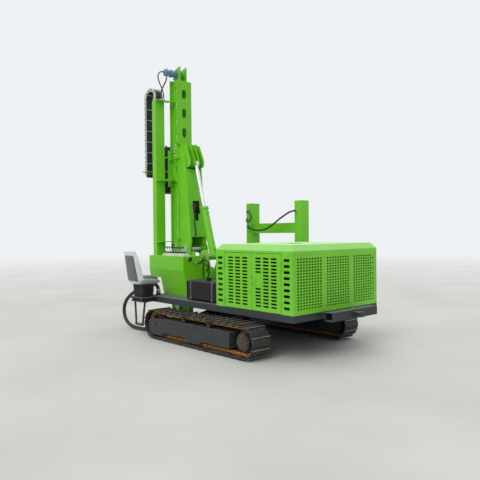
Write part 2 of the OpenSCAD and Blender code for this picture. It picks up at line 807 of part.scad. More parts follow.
// Knuckles of a hinge on its vertical axis, with the leaf that lies on the sheet towards dir
module knuckles(x, zs, dir) {
    for (z = zs) {
        translate([x, hinge_y, z]) cylinder(h = knuckle_h, r = hinge_r, $fn = 24);
        block(dir > 0 ? [x + 2, x + 42] : [x - 42, x - 2], [hood_half - 1, hood_half + 4], [z, z + knuckle_h]);
        block(dir > 0 ? [x, x + 8] : [x - 8, x], [hood_half + 1, hinge_y], [z, z + knuckle_h]);
    }
}
knuckle_h = 60;
hinge_z = [deck_top + 110, wall_top - 170];
post_hinge_z = [for (z = hinge_z) z - knuckle_h - seat_gap];

module post_front(left) color(green) on_side(left) {
    x = [door_front_end, hood_front_x];
    pan(x, [deck_top, wall_top]) post_slots_at((x[0] + x[1]) / 2, (deck_top + wall_top) / 2);
    knuckles(door_front_end - door_gap / 2, post_hinge_z, 1);
}

module post_rear(left) color(green) on_side(left) {
    x = [hood_rear + rear_sheet + seat_gap, door_rear_end];
    pan(x, [deck_top, wall_top]) post_slots_at((x[0] + x[1]) / 2, (deck_top + wall_top) / 2);
    knuckles(door_rear_end + door_gap / 2, post_hinge_z, -1);
}

// A door leaf. The rear leaf leaves out slots for its paddle latch.
module door(left, rear) color(green) on_side(left) {
    x0 = rear ? door_rear_end + door_gap : door_front_end - door_gap - leaf;
    x = [x0, x0 + leaf];
    z = [deck_top + door_gap, wall_top - door_gap];
    mid = (deck_top + wall_top) / 2;
    latch_x = x[1] - 66;
    pan(x, z)
        for (i = [0 : door_grid[0] - 1], k = [0 : door_grid[1] - 1])
            if (!rear || i < door_grid[0] - 1 || abs(k - 7.5) > 1.6)
                translate([
                    (x[0] + x[1]) / 2 + (i - (door_grid[0] - 1) / 2) * door_pitch[0],
                    mid + (k - (door_grid[1] - 1) / 2) * door_pitch[1]
                ]) slot(door_slot);
    if (rear) {
        block([latch_x - 32, latch_x + 32], [hood_half - 1, hood_half + 6], [mid - 55, mid + 75]);
        block([latch_x - 14, latch_x + 14], [hood_half + 5, hood_half + 16], [mid - 20, mid + 62]);
    }
    knuckles(rear ? door_rear_end + door_gap / 2 : door_front_end - door_gap / 2, hinge_z, rear ? 1 : -1);
}

module hood_front() color(green)
    block([hood_front_x - front_sheet, hood_front_x],
          [-hood_half + pan_t + seat_gap, hood_half - pan_t - seat_gap], [deck_top, wall_top]);

// The rear wall with its three fields of holes
module rear_grille() color(green) along_x([hood_rear, hood_rear + rear_sheet]) difference() {
    translate([-hood_half, deck_top]) square([2 * hood_half, wall_top - deck_top]);
    for (f = [-1 : 1], i = [0 : mesh_grid[0] - 1], k = [0 : mesh_grid[1] - 1])
        translate([
            f * mesh_field + (i - (mesh_grid[0] - 1) / 2) * mesh_pitch[0],
            (deck_top + wall_top) / 2 + (k - (mesh_grid[1] - 1) / 2) * mesh_pitch[1]
        ]) square(mesh_hole, center = true);
}

// A roof with a bevel all round, as the common part of two extruded profiles
module roof_form(inset) {
    module profile(a, b)
        polygon([
            [a + inset, wall_top - (inset > 0 ? 1 : 0)], [b - inset, wall_top - (inset > 0 ? 1 : 0)],
            [b - inset, eave - inset * 0.3], [b - roof_bevel - inset * 0.4, eave + roof_rise - inset],
            [a + roof_bevel + inset * 0.4, eave + roof_rise - inset], [a + inset, eave - inset * 0.3]
        ]);
    intersection() {
        along_x([hood_rear - 1, hood_front_x + 1]) profile(-hood_half, hood_half);
        along_y([-hood_half - 1, hood_half + 1]) profile(hood_rear, hood_front_x);
    }
}
exhaust_at = [hood_rear + 640, 230];
module hood_roof() color(green) {
    difference() {
        roof_form(0);
        roof_form(8);
        translate([exhaust_at[0], exhaust_at[1], eave]) cylinder(h = roof_rise + 1, r = exhaust_r);
    }
    translate([exhaust_at[0], exhaust_at[1], eave]) difference() {
        cylinder(h = roof_rise + 6, r = exhaust_r + 6);
        translate([0, 0, -1]) cylinder(h = roof_rise + 8, r = exhaust_r);
    }
}

module fuel_tank() color(black) {
    x = [fuel_front - fuel_len, fuel_front];
    y = [fuel_out - fuel_w, fuel_out];
    along_x(x) round_rect(y, [fuel_z, fuel_z + fuel_h], fuel_edge);
    // Feet under the straps, and the filler cap
    for (s = strap_x)
        block([s - 30, s + 30], [y[0] + 30, y[1] - 30], [deck_top, fuel_z - strap_t - 2 * seat_gap]);
    translate([fuel_front - fuel_len * 0.585, y[1] - 120, fuel_z + fuel_h - 1]) {
        cylinder(h = 26, r = 34);
        translate([0, 0, 25]) cylinder(h = 32, r = 44, $fn = 12);
    }
}

module tank_straps() color(steel) for (s = strap_x) along_x([s - 13, s + 13]) {
    y = [fuel_out - fuel_w, fuel_out];
    g = seat_gap;
    h = g + strap_t;
    difference() {
        round_rect([y[0] - h, y[1] + h], [fuel_z - h, fuel_z + fuel_h + h], fuel_edge + h);
        round_rect([y[0] - g, y[1] + g], [fuel_z - g, fuel_z + fuel_h + g], fuel_edge + g);
    }
}

module oil_tank() color(green) {
    along_x([oil_rear, oil_front]) polygon([
        [oil_in, deck_top], [oil_out - oil_slope, deck_top], [oil_out, oil_knee], [oil_out, oil_top],
        [oil_in, oil_top]
    ]);
    // Console panel, carried past the tank's front
    along_x([oil_front - 1, console_front]) polygon([
        [oil_out - console_t, console_low + 60], [oil_out - 30, console_low], [oil_out, oil_knee],
        [oil_out, oil_top], [oil_out - console_t, oil_top]
    ]);
    // Knob on the rear face
    translate([oil_rear - 26, oil_out - 126, oil_top - 47]) rotate([0, 90, 0]) cylinder(h = 27, r = 30);
}

// Valve block with its row of levers
module levers() color(white) {
    y = oil_out - 95;
    x0 = oil_rear + 55;
    block([x0, x0 + lever_count * lever_pitch], [y - 75, y + 60], [oil_top, oil_top + 30]);
    for (i = [0 : lever_count - 1]) {
        x = x0 + (i + 0.5) * lever_pitch;
        block([x - 24, x + 24], [y - 60, y + 35], [oil_top + 29, oil_top + 52]);
        translate([x, y, oil_top + 50]) rotate([-14, 0, 0]) {
            cylinder(h = lever_len, r = 7, $fn = 16);
            translate([0, 0, lever_len - 8]) cylinder(h = 24, r = 15, $fn = 20);
            translate([0, 0, lever_len + 15]) cylinder(h = 9, r1 = 15, r2 = 8, $fn = 20);
        }
    }
}

// Two side plates with round lugs at the tilt pivot and the cylinder's foot
module mast_base() color(green) {
    dip_x = tilt_x - lug_r - base_dip_len / 2;
    web_t = base_t - 6;
    webs = [base_x[0] + base_t, (base_x[0] + base_x[1] - 81) / 2, base_x[1] - 105];
    both_sides() along_y([base_gap / 2, base_out]) difference() {
        union() {
            polygon([
                [base_x[0], deck_top], [base_x[1], deck_top], [tilt_x + lug_r, tilt_z],
                [tilt_x - lug_r, tilt_z], [dip_x, tilt_z - base_dip],
                [dip_x - base_dip_len, tilt_z - base_dip - base_dip_len / 3],
                [foot_x + lug_r, foot_z], [foot_x - lug_r, foot_z]
            ]);
            translate([tilt_x, tilt_z]) circle(r = lug_r);
            translate([foot_x, foot_z]) circle(r = lug_r);
        }
        translate([tilt_x, tilt_z]) circle(r = tilt_pin_r + pin_fit);
        translate([foot_x, foot_z]) circle(r = foot_pin_r + pin_fit);
    }
    // Cross webs between the plates
    for (x = webs)
        block([x, x + web_t], [-base_gap / 2 - 1, base_gap / 2 + 1], [deck_top, deck_top + base_web_h]);
    // Ribs outside: the front one is narrow, beside the oil tank
    both_sides() for (rib = [[webs[0] + 10, 40], [webs[1] + 20, 20]])
        along_x([rib[0], rib[0] + 16]) polygon([
            [base_out - 1, deck_top], [base_out + rib[1], deck_top], [base_out - 1, deck_top + base_web_h + 40]
        ]);
}

module base_pins() color(steel) {
    for (p = [[tilt_x, tilt_z, tilt_pin_r], [foot_x, foot_z, foot_pin_r]]) {
        rod_y(p[0], p[1], [-base_out - 14, base_out + 14], p[2]);
        both_sides() rod_y(p[0], p[1], [base_out + seat_gap, base_out + 14], p[2] + 22);
    }
}

module seat_base() color(slate) {
    // Bracket from the deck's edge and the plate under the bellows
    block([seat_x - 190, seat_x + 190], [deck_half, seat_y + 150], [deck_low + 14, deck_low + 34]);
    for (x = [seat_x - 150, seat_x + 130])
        along_x([x, x + 20]) polygon([
            [deck_half, deck_low + 33], [seat_y + 150, deck_low + 33], [seat_y + 150, deck_top - 30],
            [deck_half, deck_top - 6]
        ]);
    block([seat_x - 200, seat_x + 200], [deck_half + 4, seat_y + 160], [deck_top - 31, deck_top]);
}

// Folded cover of the seat's suspension
module seat_bellows() color(black) {
    low = deck_top;
    fold = bellows_h / bellows_folds;
    for (i = [0 : bellows_folds - 1]) {
        along_z([low + i * fold, low + (i + 0.62) * fold])
            round_rect([seat_x - 180, seat_x + 180], [seat_y - 140, seat_y + 140], 40);
    }
    along_z([low, low + bellows_h])
        round_rect([seat_x - 165, seat_x + 165], [seat_y - 125, seat_y + 125], 34);
}

cushion_low = deck_top + bellows_h + 30;
shell_t = 14;
// The inner face of the shell's back, whose Y grows with its height
function shell_y(z) = seat_y + 223 + (z - cushion_low - 70) * 77 / (back_top - cushion_low - 70);
module seat_cushion() color([0.3, 0.3, 0.32]) {
    half = seat_w / 2 - 34;
    along_x([seat_x - half, seat_x + half]) polygon([
        [seat_y - 215, cushion_low + shell_t + seat_gap], [seat_y + 160, cushion_low + shell_t + seat_gap],
        [seat_y + 172, cushion_top - 40], [seat_y - 200, cushion_top], [seat_y - 228, cushion_top - 40]
    ]);
    along_x([seat_x - half + 14, seat_x + half - 14]) polygon([
        [seat_y + 172.3, cushion_top - 40], [shell_y(cushion_top - 40) - seat_gap, cushion_top - 40],
        [shell_y(back_top - 40) - seat_gap, back_top - 40], [shell_y(back_top - 40) - 46, back_top - 30]
    ]);
}

module seat_shell() color(white) {
    half = seat_w / 2;
    // Pan under the cushion, and the support on the bellows
    block([seat_x - 170, seat_x + 170], [seat_y - 130, seat_y + 130], [deck_top + bellows_h, cushion_low + 1]);
    along_x([seat_x - half, seat_x + half]) polygon([
        [seat_y - 240, cushion_low], [seat_y + 190, cushion_low], [seat_y + 236, cushion_low + 60],
        [seat_y + 315, back_top], [seat_y + 300, back_top], [seat_y + 223, cushion_low + 70],
        [seat_y + 180, cushion_low + shell_t], [seat_y - 240, cushion_low + shell_t]
    ]);
    // Side wings
    for (x = [seat_x - half, seat_x + half - shell_t]) along_x([x, x + shell_t]) polygon([
        [seat_y - 240, cushion_low + 1], [seat_y + 185, cushion_low + 1], [seat_y + 236, cushion_low + 60],
        [seat_y + 314, back_top], [seat_y + 262, back_top - 10], [seat_y + 190, cushion_top + 60],
        [seat_y - 150, cushion_top - 60], [seat_y - 240, cushion_low + 40]
    ]);
}

// Stirrup step below the seat: two legs that converge to a tread
module step() color(slate) {
    y = seat_y + 60;
    top = deck_low + 14;
    foot_half = 105;
    lean = 170;
    for (s = [-1, 1])
        hull() {
            translate([seat_x + 30 + s * step_w / 2 * 0.62, y, top - 20]) cylinder(h = 20, d = step_d, $fn = 16);
            translate([seat_x + 40 + s * foot_half, y + 10, step_low]) sphere(d = step_d, $fn = 16);
        }
    hull() for (s = [-1, 1])
        translate([seat_x + 40 + s * foot_half, y + 10, step_low]) sphere(d = step_d, $fn = 16);
    block([seat_x + 40 - foot_half, seat_x + 40 + foot_half], [y - 45, y + 45], [step_low + 6, step_low + 18]);
    block([seat_x - 190, seat_x + 190], [y - 25, y + 25], [top - 8, top]);
}

rack_y = -deck_half - 28;
// A square post of the side rack, on its foot bracket at the deck's edge
module rack_post(x) color(green) {
    half = rack_post_w / 2;
    along_z([deck_low, rack_top]) translate([x - half, rack_y - rack_post_d]) difference() {
        square([rack_post_w, rack_post_d]);
        translate([rack_wall, rack_wall]) square([rack_post_w - 2 * rack_wall, rack_post_d - 2 * rack_wall]);
    }
    block([x - half, x + half], [rack_y - rack_post_d, rack_y], [rack_top - rack_wall, rack_top]);
    block([x - half - 30, x + half + 30], [rack_y - 1, -deck_half], [deck_low, deck_top]);
}

module rack_crossbar() color(green) {
    half = rack_post_w / 2;
    block([rack_rear_x + half, rack_front_x - half], [rack_y - rack_post_d + 30, rack_y - 30],
          [bar_low, bar_low + bar_h]);
}

// The tapered back of the mast frame's box: X at a height
back_low = [1400, 1750];
back_high = [1560, 3300];
function back_x(z) =
    back_low[0] + (z - back_low[1]) * (back_high[0] - back_low[0]) / (back_high[1] - back_low[1]);

// Side profile of the mast frame's box
module mf_profile() {
    polygon([
        [mf_face - 1, mf_top - 100], [1650, mf_top - 120], back_high, back_low, [1405, tilt_z],
        [tilt_x, tilt_z - 105], [mf_face - 1, mf_low + 20]
    ]);
    translate([tilt_x, tilt_z]) circle(r = 110);
}

// A collar: pads behind the mast and two cheeks that hook in front of its rear plate
module collar(z) {
    block([mf_face, mast_x - pad_fit], [-collar_in + 20, collar_in - 20], z);
    both_sides() {
        block([mf_face, lip_x + lip_t], [collar_in, collar_out], z);
        block([mf_face, mf_face + 26], [collar_in - 21, collar_out], z);
        block([lip_x - mast_clear + pad_fit, lip_x + lip_t], [lip_in, collar_in + 1], z);
        for (k = [z[0], z[1] - 16])
            block([mf_face - 60, lip_x + lip_t], [mf_half - 1, collar_out + 6], [k, k + 16]);
    }
}

module mast_frame() color(green) {
    rear_z = [collar_low + collar_lower_h + 30, eye_z - 106];
    flare_z = collar_low + collar_lower_h + 318;
    difference() {
        union() {
            both_sides() along_y([mf_half - mf_t, mf_half]) mf_profile();
            // Front plate
            block([mf_face - 30, mf_face], [-mf_front_w / 2, mf_front_w / 2], [mf_low, mf_top]);
            // Rear plate along the tapered back, with its cut-out
            difference() {
                along_y([-mf_half + 2, mf_half - 2]) polygon([
                    [back_x(rear_z[0]) + 4, rear_z[0]], [back_x(rear_z[1]) + 4, rear_z[1]],
                    [back_x(rear_z[1]) + 4 + mf_t, rear_z[1]], [back_x(rear_z[0]) + 4 + mf_t, rear_z[0]]
                ]);
                block([1300, 1600], [-window[0] / 2, window[0] / 2], [window_z, window_z + window[1]]);
                block([1300, 1600], [-window[0] / 4, window[0] / 4], [window_z - 130, window_z + 1]);
            }
            // Flared gussets at the foot
            both_sides() along_y([mf_half - mf_t - 40, mf_half - mf_t + 1]) polygon([
                [mf_face - 29, mf_low + 30], [tilt_x + 35, mf_low + 20], [tilt_x - 95, tilt_z + 104.5],
                [tilt_x - 85, flare_z - 270], [mf_face - 29, flare_z]
            ]);
            // Upper shelf and the gussets that hold the rod's eye
            both_sides() for (y = gusset_y) along_y([y - gusset_t / 2, y + gusset_t / 2]) polygon([
                [mf_face - 29, eye_z - 90], [eye_x + 20, eye_z - 78], [eye_x - 50, eye_z - 50],
                [eye_x - 50, eye_z + 60], [1560, mf_top - 60], [mf_face - 29, mf_top]
            ]);
            both_sides() rod_y(eye_x, eye_z, [gusset_y[0] + gusset_t / 2 - 1, gusset_y[0] + gusset_t / 2 + 16], 44);
            collar([mf_top - collar_upper_h, mf_top]);
            collar([collar_low, collar_low + collar_lower_h]);
            both_sides() rod_y(tilt_x, tilt_z, [mf_half - mf_t - 30, base_gap / 2 - 0.5], 88);
        }
        rod_y(tilt_x, tilt_z, [-base_gap, base_gap], tilt_pin_r + pin_fit);
    }
}

// Places a part built along +X from the cylinder's foot onto its axis
module on_cylinder(at) translate([at[0], 0, at[1]]) rotate([0, -cyl_angle, 0]) children();

module cylinder_barrel() color(green) on_cylinder([foot_x, foot_z]) difference() {
    union() {
        rotate([0, 90, 0]) translate([0, 0, 45]) cylinder(h = barrel_len - 45, r = barrel_r);
        rotate([0, 90, 0]) translate([0, 0, barrel_len - 45]) cylinder(h = 45, r = barrel_r + 11);
        rod_y(0, 0, [-70, 70], 70);
        translate([barrel_len - 130, 0, barrel_r - 8]) cylinder(h = 34, r = 22);
        translate([130, 0, barrel_r - 8]) cylinder(h = 34, r = 22);
    }
    rod_y(0, 0, [-71, 71], foot_pin_r + pin_fit);
    rotate([0, 90, 0]) translate([0, 0, 95]) cylinder(h = barrel_len - gland_len - 95, r = barrel_bore);
    rotate([0, 90, 0]) translate([0, 0, 95]) cylinder(h = barrel_len, r = rod_r + 0.3);
}

module cylinder_rod() color(steel) on_cylinder([eye_x, eye_z]) {
    rotate([0, -90, 0]) cylinder(h = rod_len, r = rod_r);
    translate([-rod_len, 0, 0]) rotate([0, 90, 0]) cylinder(h = piston_len, r = barrel_bore - 0.5);
    rod_y(0, 0, [-rod_eye_w / 2, rod_eye_w / 2], rod_eye_r);
    rod_y(0, 0, [-gusset_y[0] + gusset_t / 2 + 5, gusset_y[0] - gusset_t / 2 - 5], 26);
}

// The mast's rear plate
module mast_web() color(green) {
    ovals = floor((oval_top - mast_low - 200) / oval_pitch);
    along_x([mast_x, mast_x + web_t]) difference() {
        translate([-web_w / 2, mast_low]) square([web_w, mast_top - mast_low]);
        for (i = [0 : ovals]) translate([0, oval_top - i * oval_pitch]) slot(oval);
    }
}

// One side plate of the mast with the guide on its front edge
module mast_side(left) color(green) on_side(left) {
    half = mast_w / 2;
    slots = floor((mast_top - mast_low - 300) / side_slot_pitch);
    along_y([half - mast_t, half]) difference() {
        translate([mast_x + web_t, mast_low]) square([mast_d - web_t - guide_t + 1, mast_top - mast_low]);
        for (i = [0 : slots])
            translate([mast_x + web_t + 46, mast_top - 190 - i * side_slot_pitch]) slot(side_slot);
    }
    block([guide_x - guide_t, guide_x], [guide_open / 2, guide_w / 2], [mast_low, mast_top]);
}

// Foot plate and its two ribs under the mast
module mast_foot() color(green) {
    block([mast_x - 20, foot_front], [-web_w / 2, web_w / 2], [mast_low - 26, mast_low]);
    both_sides() along_y([90, 108]) polygon([
        [guide_x, mast_low - 1], [foot_front, mast_low - 1], [foot_front, mast_low + 30],
        [guide_x + 60, mast_low + 220], [guide_x, mast_low + 220]
    ]);
}

// Two head plates inside the top of the mast, with the chain sprocket between them
module mast_head() color(green) {
    half = head_w / 2;
    both_sides() along_y([half - head_t, half]) polygon([
        [mast_x + web_t, mast_top - 150], [guide_x - guide_t - 20, mast_top - 150],
        [guide_x - guide_t - 20, mast_top + 1], [guide_x + 45, mast_top + 60], [guide_x + 45, head_top - 60],
        [mast_x + web_t + 10, head_top], [mast_x + web_t, head_top - 20]
    ]);
    for (z = [mast_top - 130, mast_top - 30])
        block([mast_x + web_t, mast_x + web_t + 90], [-mast_w / 2 + mast_t, mast_w / 2 - mast_t], [z, z + 16]);
    teeth = 16;
    along_y([-12, 12]) translate([head_x, head_axis_z]) polygon([
        for (i = [0 : teeth - 1], k = [[-0.3, -16], [-0.12, 0], [0.12, 0], [0.3, -16]])
            (head_sprocket_r + k[1]) * [cos(360 * (i + k[0]) / teeth), sin(360 * (i + k[0]) / teeth)]
    ]);
    rod_y(head_x, head_axis_z, [-half + head_t - 1, half - head_t + 1], 38);
}

// Hoist motor on the left head plate
module head_motor() color([0.35, 0.55, 0.68]) {
    y0 = head_w / 2;
    flange_t = 16;
    y1 = y0 + gearbox_len;
    y2 = y0 + motor_len;
    rod_y(head_x, head_axis_z, [y0, y0 + flange_t], motor_r + 25);
    rod_y(head_x, head_axis_z, [y0 + flange_t - 1, y1], motor_r + 2);
    rod_y(head_x, head_axis_z, [y1 - 1, y1 + flange_t], motor_r + 16);
    rod_y(head_x, head_axis_z, [y1 + flange_t - 1, y2], motor_r);
    // Port blocks of the two hoses
    block([head_x - 50, head_x + 40], [y2 - 90, y2 - 8], [head_axis_z - motor_r, head_axis_z - 30]);
}

// Channel that guides the energy chain, on three brackets from the mast
bracket_z = [1667, 2864, trough_top - 16];
module trough() color(green) {
    along_z([trough_low, trough_top]) difference() {
        translate([trough_x, trough_in]) square([trough_d, trough_w]);
        translate([trough_x + trough_t, trough_in + trough_t]) square([trough_d, trough_w - 2 * trough_t]);
    }
    // Wear pad for the chain
    block([trough_x + trough_t - 1, trough_x + trough_t + chain_pad], [chain_in + 20, chain_out - 20],
          [trough_low + 40, trough_top - 10]);
    for (z = bracket_z) {
        block(bracket_x, [mast_w / 2, trough_out], [z, z + 16]);
        block([bracket_x[0], trough_x + 1], [carriage_out + 20, trough_out], [z, z + 16]);
    }
}

// Side walls and crossbars of the chain, round its bend
module chain_path(x, z_low_in, z_low_out, r) {
    translate([x[0], z_low_in]) square([chain_h, chain_bend_z - z_low_in]);
    translate([x[1] - chain_h, z_low_out]) square([chain_h, chain_bend_z - z_low_out]);
    intersection() {
        translate([(x[0] + x[1]) / 2, chain_bend_z]) difference() {
            circle(r = r, $fn = 32);
            circle(r = r - chain_h, $fn = 32);
        }
        translate([x[0] - 1, chain_bend_z]) square([x[1] - x[0] + 2, r + 1]);
    }
}

chain_wall = 12;
// Height and thickness of a crossbar
chain_bar = [14, 8];
module energy_chain() color(white) {
    wall = chain_wall;
    bar = chain_bar;
    r = chain_loop / 2;
    x = [chain_x0, chain_x1];
    cx = (x[0] + x[1]) / 2;
    for (y = [chain_in, chain_out - wall])
        along_y([y, y + wall]) chain_path(x, chain_in_low, chain_out_low, r);
    // Crossbars: on the legs, then round the bend
    for (leg = [[x[0], chain_in_low], [x[1] - chain_h, chain_out_low]],
         z = [leg[1] + 20 : chain_bar_pitch : chain_bend_z - 20], side = [0, chain_h - bar[1]])
        block([leg[0] + side, leg[0] + side + bar[1]], [chain_in + wall - 1, chain_out - wall + 1],
              [z, z + bar[0]]);
    for (a = [40, 90, 140], d = [0, chain_h - bar[1]])
        translate([cx, 0, chain_bend_z]) rotate([0, -a, 0])
            block([r - d - bar[1], r - d], [chain_in + wall - 1, chain_out - wall + 1], [-bar[0] / 2, bar[0] / 2]);
}

// The hoses inside the energy chain
module chain_hoses() color(black) {
    r = chain_h / 2 - chain_bar[1] - seat_gap;
    mid = chain_loop / 2 - chain_h / 2;
    cx = (chain_x0 + chain_x1) / 2;
    step_y = (chain_out - chain_in - 2 * chain_wall) / 3;
    for (i = [0 : 2]) translate([0, chain_in + chain_wall + (i + 0.5) * step_y, 0]) {
        translate([cx - mid, 0, chain_in_low - 40]) cylinder(h = chain_bend_z - chain_in_low + 40, r = r, $fn = 20);
        translate([cx + mid, 0, chain_out_low - 40]) cylinder(h = chain_bend_z - chain_out_low + 40, r = r, $fn = 20);
        translate([cx, 0, chain_bend_z]) rotate([90, 0, 0]) rotate_extrude(angle = 180)
            translate([mid, 0]) circle(r = r, $fn = 20);
    }
}

// Carriage: a plate in front of the mast's guides, with shoes that hook behind them
// Four shoes behind the carriage's plate, hooked round the mast's guides
module carriage_shoes() color(green)
    both_sides() for (k = [carriage_low + 20, carriage_top - guide_shoe_h - 20]) {
        z = [k, k + guide_shoe_h];
        block([hook_x - hook_t, carriage_x], [carriage_in, carriage_out], z);
        block([hook_x - hook_t, hook_x + mast_clear - pad_fit], [mast_w / 2 + 16, carriage_in + 1], z);
        block([guide_x + pad_fit, carriage_x], [guide_open / 2 + 16, carriage_in + 1], z);
    }

module carriage() color(green) {
    z = [carriage_low, carriage_top];
    block([carriage_x, carriage_x + carriage_t], [-carriage_out, carriage_out], z);
    // Brackets that hold the hammer's housing
    hold = carriage_x + carriage_t;
    for (k = [hammer_low + hammer_flange + hammer_nut + 8, hammer_top - 200])
        along_z([k, k + 26]) difference() {
            translate([hold - 1, -180]) square([hammer_x - hold + 60, 360]);
            translate([hammer_x, 0]) circle(r = hammer_r + seat_gap);
        }
    both_sides() along_y([150, 172]) polygon([
        [hold - 1, z[0] + 60], [hold + 60, hammer_low + 30], [hold + 60, hammer_top - 180], [hold - 1, z[1] - 30]
    ]);
    // Arm that drives the energy chain, with a hoop round the chain's outer leg
    arm = [chain_x1 - chain_h - 10, chain_x1 + 10];
    block([carriage_x + carriage_t - 1, arm[0] + 1], [carriage_out - 60, carriage_out], [arm_z, arm_z + arm_t]);
    along_z([arm_z, arm_z + arm_t]) difference() {
        translate([arm[0] - 60, carriage_out - 60]) square([arm[1] - arm[0] + 100, chain_out + 40 - carriage_out + 60]);
        translate([arm[0], chain_in - 10]) square([arm[1] - arm[0], chain_out - chain_in + 20]);
    }
}

module hammer_body() color(slate) translate([hammer_x, 0, 0]) {
    translate([0, 0, hammer_low]) cylinder(h = hammer_top - hammer_low, r = hammer_r);
    translate([0, 0, hammer_low]) cylinder(h = hammer_flange, r = hammer_r + 30);
    translate([0, 0, hammer_top - 90]) cylinder(h = 90, r = hammer_r + 18);
    translate([0, 0, hammer_top - 1]) cylinder(h = 50, r = hammer_r - 50);
    for (a = [0 : 60 : 359])
        rotate([0, 0, a + 30]) translate([hammer_r + 14, 0, hammer_low + hammer_flange])
            cylinder(h = hammer_nut, r = 11, $fn = 13);
}

// Drive cap with the socket that takes the pile's head
module hammer_cap() color(black) translate([hammer_x, 0, hammer_low - cap_h]) difference() {
    union() {
        cylinder(h = cap_h - 50, r = cap_r);
        cylinder(h = cap_h, r = cap_r - 50);
    }
    translate([0, 0, -1]) cylinder(h = socket_d + 1, r = socket_r);
}

module loop_hose() color(black) tube(loop_route, 33);
module rack_hose() color(black) {
    tube(rack_route, 16);
    tube(ring_route, 13);
}
module head_hoses() color(black) {
    tube(head_route_a, 13);
    tube(head_route_b, 11);
}
module frame_hoses() color(black) tube(frame_route, 14);
module foot_hoses() color(black) {
    tube(foot_route_a, 13);
    tube(foot_route_b, 13);
}

// Moves the machine so that the origin is below the middle of its bounding box
module placed() translate([-box_cx, -box_cy, 0]) children();

placed() track(true);  // track_left
placed() track(false);  // track_right
placed() track_frame(true);  // track_frame_left
placed() track_frame(false);  // track_frame_right
placed() track_wheels(true);  // track_wheels_left
placed() track_wheels(false);  // track_wheels_right
placed() sprocket(true);  // sprocket_left
placed() sprocket(false);  // sprocket_right
placed() car_body();
placed() deck();
placed() bumper();
placed() engine();
placed() hood_roof();
placed() hood_front();
placed() rear_grille();
placed() post_front(true);  // post_front_left
placed() post_front(false);  // post_front_right
placed() post_rear(true);  // post_rear_left
placed() post_rear(false);  // post_rear_right
placed() door(true, false);  // door_front_left
placed() door(false, false);  // door_front_right
placed() door(true, true);  // door_rear_left
placed() door(false, true);  // door_rear_right
placed() fuel_tank();
placed() tank_straps();
placed() oil_tank();
placed() levers();
placed() mast_base();
placed() base_pins();
placed() seat_base();
placed() seat_bellows();
placed() seat_cushion();
placed() seat_shell();
placed() step();
placed() rack_post(rack_front_x);  // rack_front
placed() rack_post(rack_rear_x);  // rack_rear
placed() rack_crossbar();
placed() mast_frame();
placed() cylinder_barrel();
placed() cylinder_rod();
placed() mast_web();
placed() mast_side(true);  // mast_side_left
placed() mast_side(false);  // mast_side_right
placed() mast_foot();
placed() mast_head();
placed() head_motor();
placed() trough();
placed() carriage();
placed() carriage_shoes();
placed() hammer_body();
placed() hammer_cap();
placed() energy_chain();
placed() chain_hoses();
placed() loop_hose();
placed() rack_hose();
placed() head_hoses();
placed() frame_hoses();
placed() foot_hoses();
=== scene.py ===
import math

import bpy
import numpy as np
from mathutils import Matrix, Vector


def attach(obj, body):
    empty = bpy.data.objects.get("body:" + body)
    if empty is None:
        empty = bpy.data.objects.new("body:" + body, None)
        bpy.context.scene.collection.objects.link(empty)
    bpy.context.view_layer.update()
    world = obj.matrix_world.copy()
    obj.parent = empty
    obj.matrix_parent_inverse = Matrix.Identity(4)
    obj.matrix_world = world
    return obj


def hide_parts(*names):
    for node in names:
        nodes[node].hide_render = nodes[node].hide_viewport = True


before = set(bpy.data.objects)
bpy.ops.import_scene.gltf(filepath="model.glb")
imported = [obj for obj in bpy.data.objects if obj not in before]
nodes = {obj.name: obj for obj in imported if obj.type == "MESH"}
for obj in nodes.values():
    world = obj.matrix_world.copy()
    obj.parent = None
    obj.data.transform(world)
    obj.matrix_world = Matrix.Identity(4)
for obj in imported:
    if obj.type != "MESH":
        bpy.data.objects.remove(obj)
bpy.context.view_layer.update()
scene = bpy.context.scene
print("loaded", len(nodes), "nodes")

# The machine is drawn in millimetres: X forward, Y left, Z up from the ground
machineZero = np.array([110.5, 102.5, 0.0])
forward, backward, leftward, rightward, upward = (1, 0, 0), (-1, 0, 0), (0, 1, 0), (0, -1, 0), (0, 0, 1)


def toFrame(points):
    return (np.asarray(points, float) - machineZero) / 1000


# Camera
view = dict(place=(-6.9105, 6.3105, 1.85), along=(0.738, -0.674), pitch=-0.85, roll=-0.5,
            lens=40.3, sensor=36, reach=200)
camera = bpy.data.objects.new("camera", bpy.data.cameras.new("camera"))
camera.data.lens = view["lens"]
camera.data.sensor_width = view["sensor"]
camera.data.clip_end = view["reach"]
camera.location = view["place"]
sight = Vector((*view["along"], 0)).normalized()
sight = (sight + Vector((0, 0, math.tan(math.radians(view["pitch"]))))).normalized()
camera.rotation_euler = sight.to_track_quat("-Z", "Y").to_matrix().to_4x4().to_euler()
camera.rotation_euler.rotate_axis("Z", math.radians(view["roll"]))
scene.collection.objects.link(camera)
scene.camera = camera
scene.view_settings.view_transform = "Standard"

# Sun
light = dict(sunPower=1.35, sunAngle=38, sunTurn=(46, 0, -160), skyColour=(0.94, 0.97, 1.0, 1),
             backdrop=(0.86, 0.88, 0.90, 1), horizon=0.33, overhead=1.05, fullFrom=0.9)
sun = bpy.data.objects.new("sun", bpy.data.lights.new("sun", "SUN"))
sun.data.energy = light["sunPower"]
sun.data.angle = math.radians(light["sunAngle"])
sun.rotation_euler = [math.radians(a) for a in light["sunTurn"]]
scene.collection.objects.link(sun)


# Short ways to lay shader nodes
def addNode(tree, kind, inputs=None, **settings):
    made = tree.nodes.new("ShaderNode" + kind)
    for key, value in settings.items():
        setattr(made, key, value)
    for key, value in (inputs or {}).items():
        if isinstance(value, bpy.types.NodeSocket):
            tree.links.new(value, made.inputs[key])
        else:
            made.inputs[key].default_value = value
    return made


def calc(tree, operation, a, b=0.5, c=0.5, clamp=False):
    return addNode(tree, "Math", {0: a, 1: b, 2: c}, operation=operation, use_clamp=clamp).outputs[0]


